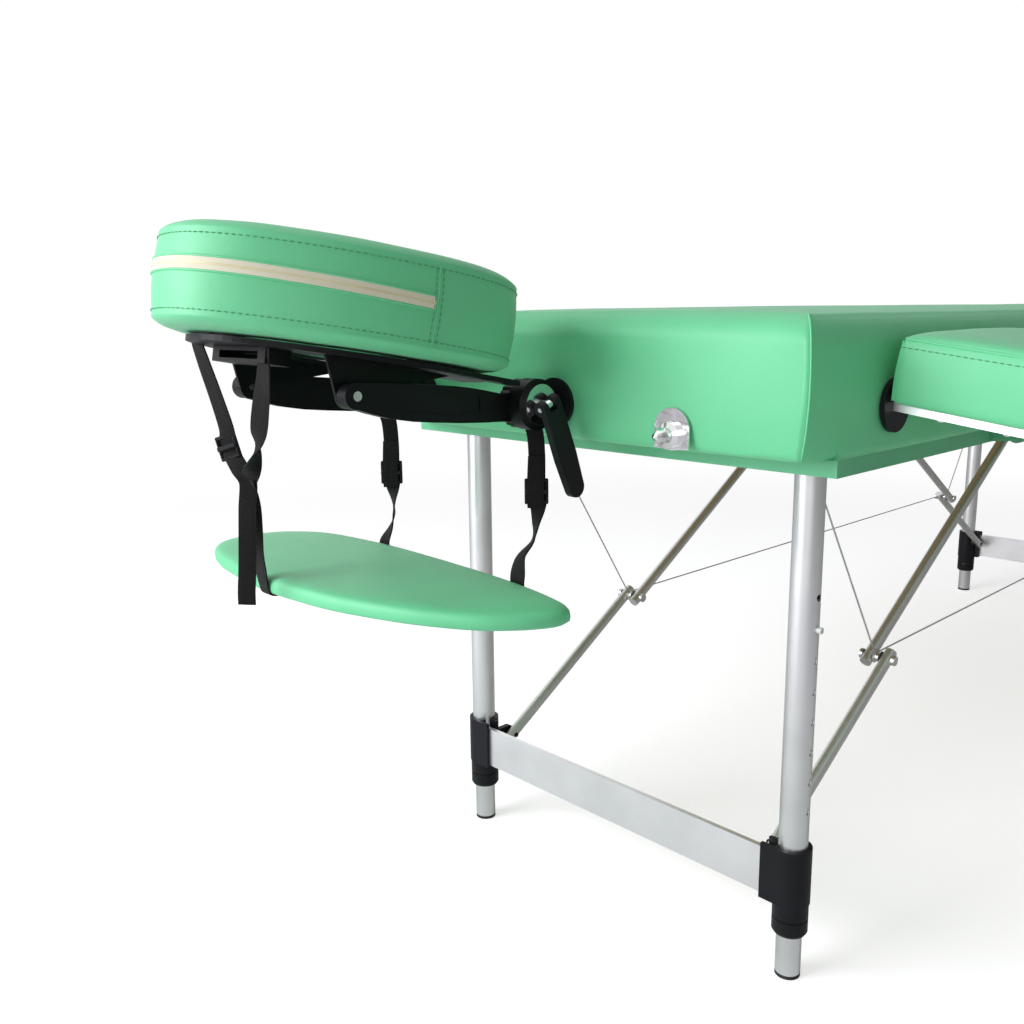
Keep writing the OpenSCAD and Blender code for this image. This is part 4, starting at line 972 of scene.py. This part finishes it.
def ribbon(name, points, widths, half_t=0.0008, arms=True, per=10):
    """Woven band through points; widths gives its direction across, scaled to its width, at each point."""
    path = smooth_path([Vector(p) for p in points], per)
    side = smooth_path([Vector(w) for w in widths], per)
    # Section: shares of the half width and of the half thickness
    section = ((-1, -1), (-0.5, -1.25), (0.5, -1.25), (1, -1), (1, 1), (0.5, 1.25), (-0.5, 1.25), (-1, 1))
    verts, faces, uvs = [], [], []
    run = 0.0
    n = len(path)
    for i, (p, w) in enumerate(zip(path, side)):
        t = (path[min(i + 1, n - 1)] - path[max(i - 1, 0)]).normalized()
        length = max(w.length, 0.003)
        w = (w - w.dot(t) * t).normalized() * length / 2
        u = w.cross(t).normalized() * half_t
        if i:
            run += (p - path[i - 1]).length
        for a, b in section:
            verts.append(p + w * a + u * b)
            uvs.append((a * length / 2, run))
    for i in range(n - 1):
        for k in range(8):
            a, b = i * 8 + k, i * 8 + (k + 1) % 8
            faces.append((a, b, b + 8, a + 8))
    faces += [tuple(range(7, -1, -1)), tuple((n - 1) * 8 + k for k in range(8))]
    me = bpy.data.meshes.new(name)
    me.from_pydata([tuple(v) for v in verts], [], faces)
    uv = me.uv_layers.new(name="strap")
    for loop in me.loops:
        uv.data[loop.index].uv = uvs[loop.vertex_index]
    me.materials.append(MATS["webbing"])
    bm = bmesh.new()
    bm.from_mesh(me)
    bmesh.ops.recalc_face_normals(bm, faces=bm.faces)
    bm.to_mesh(me)
    bm.free()
    o = bpy.data.objects.new(name, me)
    scene.collection.objects.link(o)
    if arms:
        tuple(points[0])
        tuple(points[-1])
        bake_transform(o)
    else:
        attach(o, "arm_shelf")
    return o


def buckle(name, at, along, across, w=25.0, h=27.0):
    """Ladder buckle: two cheeks, two end bars and a raised middle bar."""
    y, x = Vector(along).normalized(), Vector(across)
    x = (x - x.dot(y) * y).normalized()
    z = x.cross(y)
    c = Vector(at)
    verts, faces = [], []

    def box(x0, x1, y0, y1, z0, z1, r=0.6):
        ring = [(x0 + r, y0), (x1 - r, y0), (x1, y0 + r), (x1, y1 - r),
                (x1 - r, y1), (x0 + r, y1), (x0, y1 - r), (x0, y0 + r)]
        base = len(verts)
        for inset, zz in ((r, z0), (0, z0 + r), (0, z1 - r), (r, z1)):
            for px, py in ring:
                mx, my = (x0 + x1) / 2, (y0 + y1) / 2
                qx = px - math.copysign(min(inset, abs(px - mx)), px - mx)
                qy = py - math.copysign(min(inset, abs(py - my)), py - my)
                verts.append(c + (x * qx + y * qy + z * zz) * MM)
        for j in range(3):
            for k in range(8):
                a, b = base + j * 8 + k, base + j * 8 + (k + 1) % 8
                faces.append((a, b, b + 8, a + 8))
        faces.append(tuple(base + k for k in range(7, -1, -1)))
        faces.append(tuple(base + 24 + k for k in range(8)))

    for s in (-1, 1):
        outside, inside = s * w / 2, s * (w / 2 - 3.2)
        box(min(outside, inside), max(outside, inside), -h / 2, h / 2, -2.6, 2.6, 1.1)
    box(-w / 2, w / 2, h / 2 - 4, h / 2, -2.2, 2.2, 1.0)
    box(-w / 2, w / 2, -h / 2, -h / 2 + 4, -2.2, 2.2, 1.0)
    box(-w / 2, w / 2, -2.6, 2.6, 1.2, 4.2, 1.2)
    o = add_mesh(name, verts, faces, "black", smooth=False)
    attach(o, "arm_shelf")


def make_straps():
    face = Vector((0.69, 0.72, 0))
    edge = Vector((0.72, -0.69, 0))
    flat = Vector((1, 0, 0))
    W = 17.5 * MM

    def pts(rows):
        return [head(*r) for r in rows]

    # Front strap: down from the plate, through its buckle, past the end of the second strap to the board
    s1 = pts([(-178, -300, 676), (-181, -303.5, 664), (-181, -299, 645), (-176, -290, 607),
              (-176, -282, 577), (-181, -279, 560), (-166, -277, 541), (-151, -276.5, 528),
              (-154, -277.5, 500), (-154, -279.5, 470), (-154.5, -281.5, 440), (-156, -283, 418),
              (-157, -283, 404)])
    w1 = [Vector((1, 0.1, 0)), Vector((1, 0.1, 0)), Vector((1, 0.2, 0)), Vector((0.95, 0.3, 0)),
          Vector((0.9, 0.4, 0)), Vector((0.9, 0.4, 0)), Vector((0.7, 0.5, 0)), Vector((0.6, 0.55, 0)),
          Vector((0.68, 0.6, 0)), face, face, face, face]
    o = ribbon("strap_front", s1, [w.normalized() * W for w in w1])
    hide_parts("shelf_straps", "shelf_buckles")
    # Its return to the board, tucked under the front edge
    s1b = pts([(-151, -275, 531), (-155, -272, 505), (-161, -268, 478), (-171, -261, 451), (-178, -254, 430),
               (-181, -250, 413), (-181, -245.5, 403), (-179, -230, 401.8)])
    w1b = [edge * 0.6 + face * 0.5, face, face, Vector((1, 0.25, 0)), Vector((1, 0.1, 0)), flat, flat, flat]
    ribbon("strap_front_return", s1b, [w.normalized() * W for w in w1b])
    s2 = pts([(-66, -297, 663), (-68, -298, 650), (-78, -294.5, 630), (-92, -290, 610), (-113, -283, 580),
              (-130, -278.5, 556), (-142, -276.5, 540), (-150, -275.5, 531)])
    w2 = [flat, flat, Vector((1, 0.1, 0)), Vector((1, 0.3, 0)), Vector((0.8, 0.2, 0.1)),
          Vector((0.5, -0.5, 0.3)), Vector((0.3, -0.4, 0.8)), Vector((0.2, -0.3, 0.9))]
    ribbon("strap_second", s2, [w.normalized() * W for w in w2])
    # Rear straps: from each hub through a buckle, half a turn edge on, to the rear edge of the board
    rear = (("far", -222.0, -50.0, 0, 0, -226.0, -61.5), ("near", -6.0, -24.0, 3, -5, 14.0, -72.5))
    for tag, x0, v0, dx, dv, xb, vb in rear:
        rows = [(x0, v0 - 13, 583), (x0, v0 - 3, 566), (x0, v0, 540), (x0, v0, 515), (x0 + dx / 2, v0, 490),
                (x0 + dx, v0 + dv, 470), (x0 + dx, v0 + 2 * dv, 452), (x0 + dx, (v0 + 2 * dv + vb) / 2, 436),
                (xb, vb - 0.5, 420), (xb, vb + 0.3, 407), (xb, vb - 4, 400.5), (xb, vb - 16, 399.6)]
        turn = [face * 0.9 + edge * 0.1, face, face, face, face, face * 0.35 + edge * 0.9, edge,
                edge * 0.7 + flat * 0.5, flat, flat, flat, flat]
        ribbon(f"strap_{tag}", pts(rows), [w.normalized() * W for w in turn])
        # The slack end that comes back out of the buckle
        tail = [(x0 + 1.5, v0 - 2.2, 540), (x0 + 1.5, v0 - 3.4, 522),
                (x0 + 1.5, v0 - 4.5, 503), (x0 + 1, v0 - 3.2, 486)]
        ribbon(f"strap_{tag}_end", pts(tail), [face.normalized() * W] * 4, arms=False)
        buckle(f"buckle_{tag}", head(x0, v0 - 1, 503), (0, 0, 1), face)
    d = head(-166, -277, 541) - head(-176, -282, 577)
    buckle("buckle_front", head(-180, -279.5, 560), -d, Vector((0.9, 0.4, 0)), 24, 25)


# Brace cables

def make_cables():
    """Each side's cable in two pieces, so that each lies against its own half when the table folds."""
    x, top, low, fold, r = 192.0, 618.6, 279.5, 900.0, 1.0
    for s, side in ((1, "right"), (-1, "left")):
        for place, half in ((head, "head"), (foot, "foot")):
            points = [place(s * x, v, z) for v, z in ((121, top), (350, low - 0.6), (367, low), (fold, low))]
            path = resample(points, 0.02)
            name = f"cable_{side}_{half}"
            o = tube(name, path, r * MM, "cable", 10, body=half + "_top")
            tuple(place(s * x, fold, top))
            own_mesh(o)
            if half == "head":
                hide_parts(side + "_cable")


# Stage and light

def make_stage():
    world = bpy.data.worlds.new("world")
    scene.world = world
    world.use_nodes = True
    t = world.node_tree
    t.nodes.clear()
    out = t.nodes.new("ShaderNodeOutputWorld")
    mix = t.nodes.new("ShaderNodeMixShader")
    lp = t.nodes.new("ShaderNodeLightPath")
    soft = t.nodes.new("ShaderNodeBackground")
    soft.inputs["Color"].default_value = (1, 1, 1, 1)
    soft.inputs["Strength"].default_value = 0.22
    white = t.nodes.new("ShaderNodeBackground")
    white.inputs["Color"].default_value = (1, 1, 1, 1)
    where = t.nodes.new("ShaderNodeTexCoord")
    toward = t.nodes.new("ShaderNodeVectorMath")
    toward.operation = "DOT_PRODUCT"
    toward.inputs[1].default_value = (-0.72, -0.66, 0.2)
    side = t.nodes.new("ShaderNodeMapRange")
    side.interpolation_type = "SMOOTHSTEP"
    for k, v in (("From Min", -0.75), ("From Max", 0.35), ("To Min", 0.30), ("To Max", 1.02)):
        side.inputs[k].default_value = v
    front = t.nodes.new("ShaderNodeMath")
    front.operation = "MAXIMUM"
    t.links.new(where.outputs["Generated"], toward.inputs[0])
    t.links.new(toward.outputs["Value"], side.inputs["Value"])
    t.links.new(side.outputs["Result"], front.inputs[0])
    t.links.new(lp.outputs["Is Camera Ray"], front.inputs[1])
    t.links.new(front.outputs[0], white.inputs["Strength"])
    add = t.nodes.new("ShaderNodeMath")
    add.operation = "MAXIMUM"
    t.links.new(lp.outputs["Is Camera Ray"], add.inputs[0])
    t.links.new(lp.outputs["Is Glossy Ray"], add.inputs[1])
    t.links.new(add.outputs[0], mix.inputs[0])
    t.links.new(soft.outputs[0], mix.inputs[1])
    t.links.new(white.outputs[0], mix.inputs[2])
    t.links.new(mix.outputs[0], out.inputs["Surface"])

    me = bpy.data.meshes.new("floor")
    s = 14
    me.from_pydata([(-s, -s, 0), (s, -s, 0), (s, s, 0), (-s, s, 0)], [], [(0, 1, 2, 3)])
    floor = bpy.data.objects.new("floor", me)
    scene.collection.objects.link(floor)
    floor.location = (0, 0, -0.0005)
    m = bpy.data.materials.new("floor_white")
    m.use_nodes = True
    nt = m.node_tree
    b = nt.nodes["Principled BSDF"]
    b.inputs["Base Color"].default_value = (0.93, 0.93, 0.93, 1)
    b.inputs["Roughness"].default_value = 0.9
    b.inputs["Specular IOR Level"].default_value = 0.1
    em = nt.nodes.new("ShaderNodeEmission")
    em.inputs["Color"].default_value = (1, 1, 1, 1)
    em.inputs["Strength"].default_value = 1.0
    geo = nt.nodes.new("ShaderNodeNewGeometry")
    dist = nt.nodes.new("ShaderNodeVectorMath")
    dist.operation = "LENGTH"
    ramp = nt.nodes.new("ShaderNodeMapRange")
    ramp.interpolation_type = "SMOOTHSTEP"
    ramp.inputs["From Min"].default_value = 1.5
    ramp.inputs["From Max"].default_value = 3.2
    lp2 = nt.nodes.new("ShaderNodeLightPath")
    mul = nt.nodes.new("ShaderNodeMath")
    mul.operation = "MULTIPLY"
    mx = nt.nodes.new("ShaderNodeMixShader")
    outn = nt.nodes["Material Output"]
    nt.links.new(geo.outputs["Position"], dist.inputs[0])
    nt.links.new(dist.outputs["Value"], ramp.inputs["Value"])
    nt.links.new(ramp.outputs["Result"], mul.inputs[0])
    nt.links.new(lp2.outputs["Is Camera Ray"], mul.inputs[1])
    lift = nt.nodes.new("ShaderNodeEmission")
    lift.inputs["Color"].default_value = (1, 1, 1, 1)
    seen = nt.nodes.new("ShaderNodeMath")
    seen.operation = "MULTIPLY"
    seen.inputs[1].default_value = 0.55
    both = nt.nodes.new("ShaderNodeAddShader")
    nt.links.new(lp2.outputs["Is Camera Ray"], seen.inputs[0])
    nt.links.new(seen.outputs[0], lift.inputs["Strength"])
    nt.links.new(b.outputs[0], both.inputs[0])
    nt.links.new(lift.outputs[0], both.inputs[1])
    nt.links.new(mul.outputs[0], mx.inputs[0])
    nt.links.new(both.outputs[0], mx.inputs[1])
    nt.links.new(em.outputs[0], mx.inputs[2])
    nt.links.new(mx.outputs[0], outn.inputs["Surface"])
    me.materials.append(m)

    def area(name, loc, aim, size, watts, tint=(1, 1, 1)):
        d = bpy.data.lights.new(name, "AREA")
        d.shape = "SQUARE"
        d.size = size
        d.energy = watts
        d.color = tint
        o = bpy.data.objects.new(name, d)
        scene.collection.objects.link(o)
        o.location = loc
        o.rotation_euler = (Vector(aim) - Vector(loc)).to_track_quat("-Z", "Y").to_euler()

    area("key", (-1.3, -3.4, 1.5), (0, -0.4, 0.5), 2.2, 104, (1.0, 1.0, 1.07))
    area("top", (0.2, -0.2, 3.6), (0, 0, 0.4), 3.0, 17)
    area("fill", (1.9, -3.0, 1.0), (-0.1, -0.7, 0.6), 1.6, 9)
    scene.view_settings.view_transform = "Standard"


make_camera()
make_materials()
dress_nodes()
make_stage()
make_pad("head_cushion", "head_pad", head, "head_top", 0.0)
make_pad("foot_cushion", "foot_pad", foot, "foot_top", 7.7)
make_rest_cushion()
make_armrest(1, "right_armrest_cushion", "right_armrest_pad", "right_armrest")
make_armrest(-1, "left_armrest_cushion", "left_armrest_pad", "left_armrest")
make_shelf()
make_straps()
make_cables()
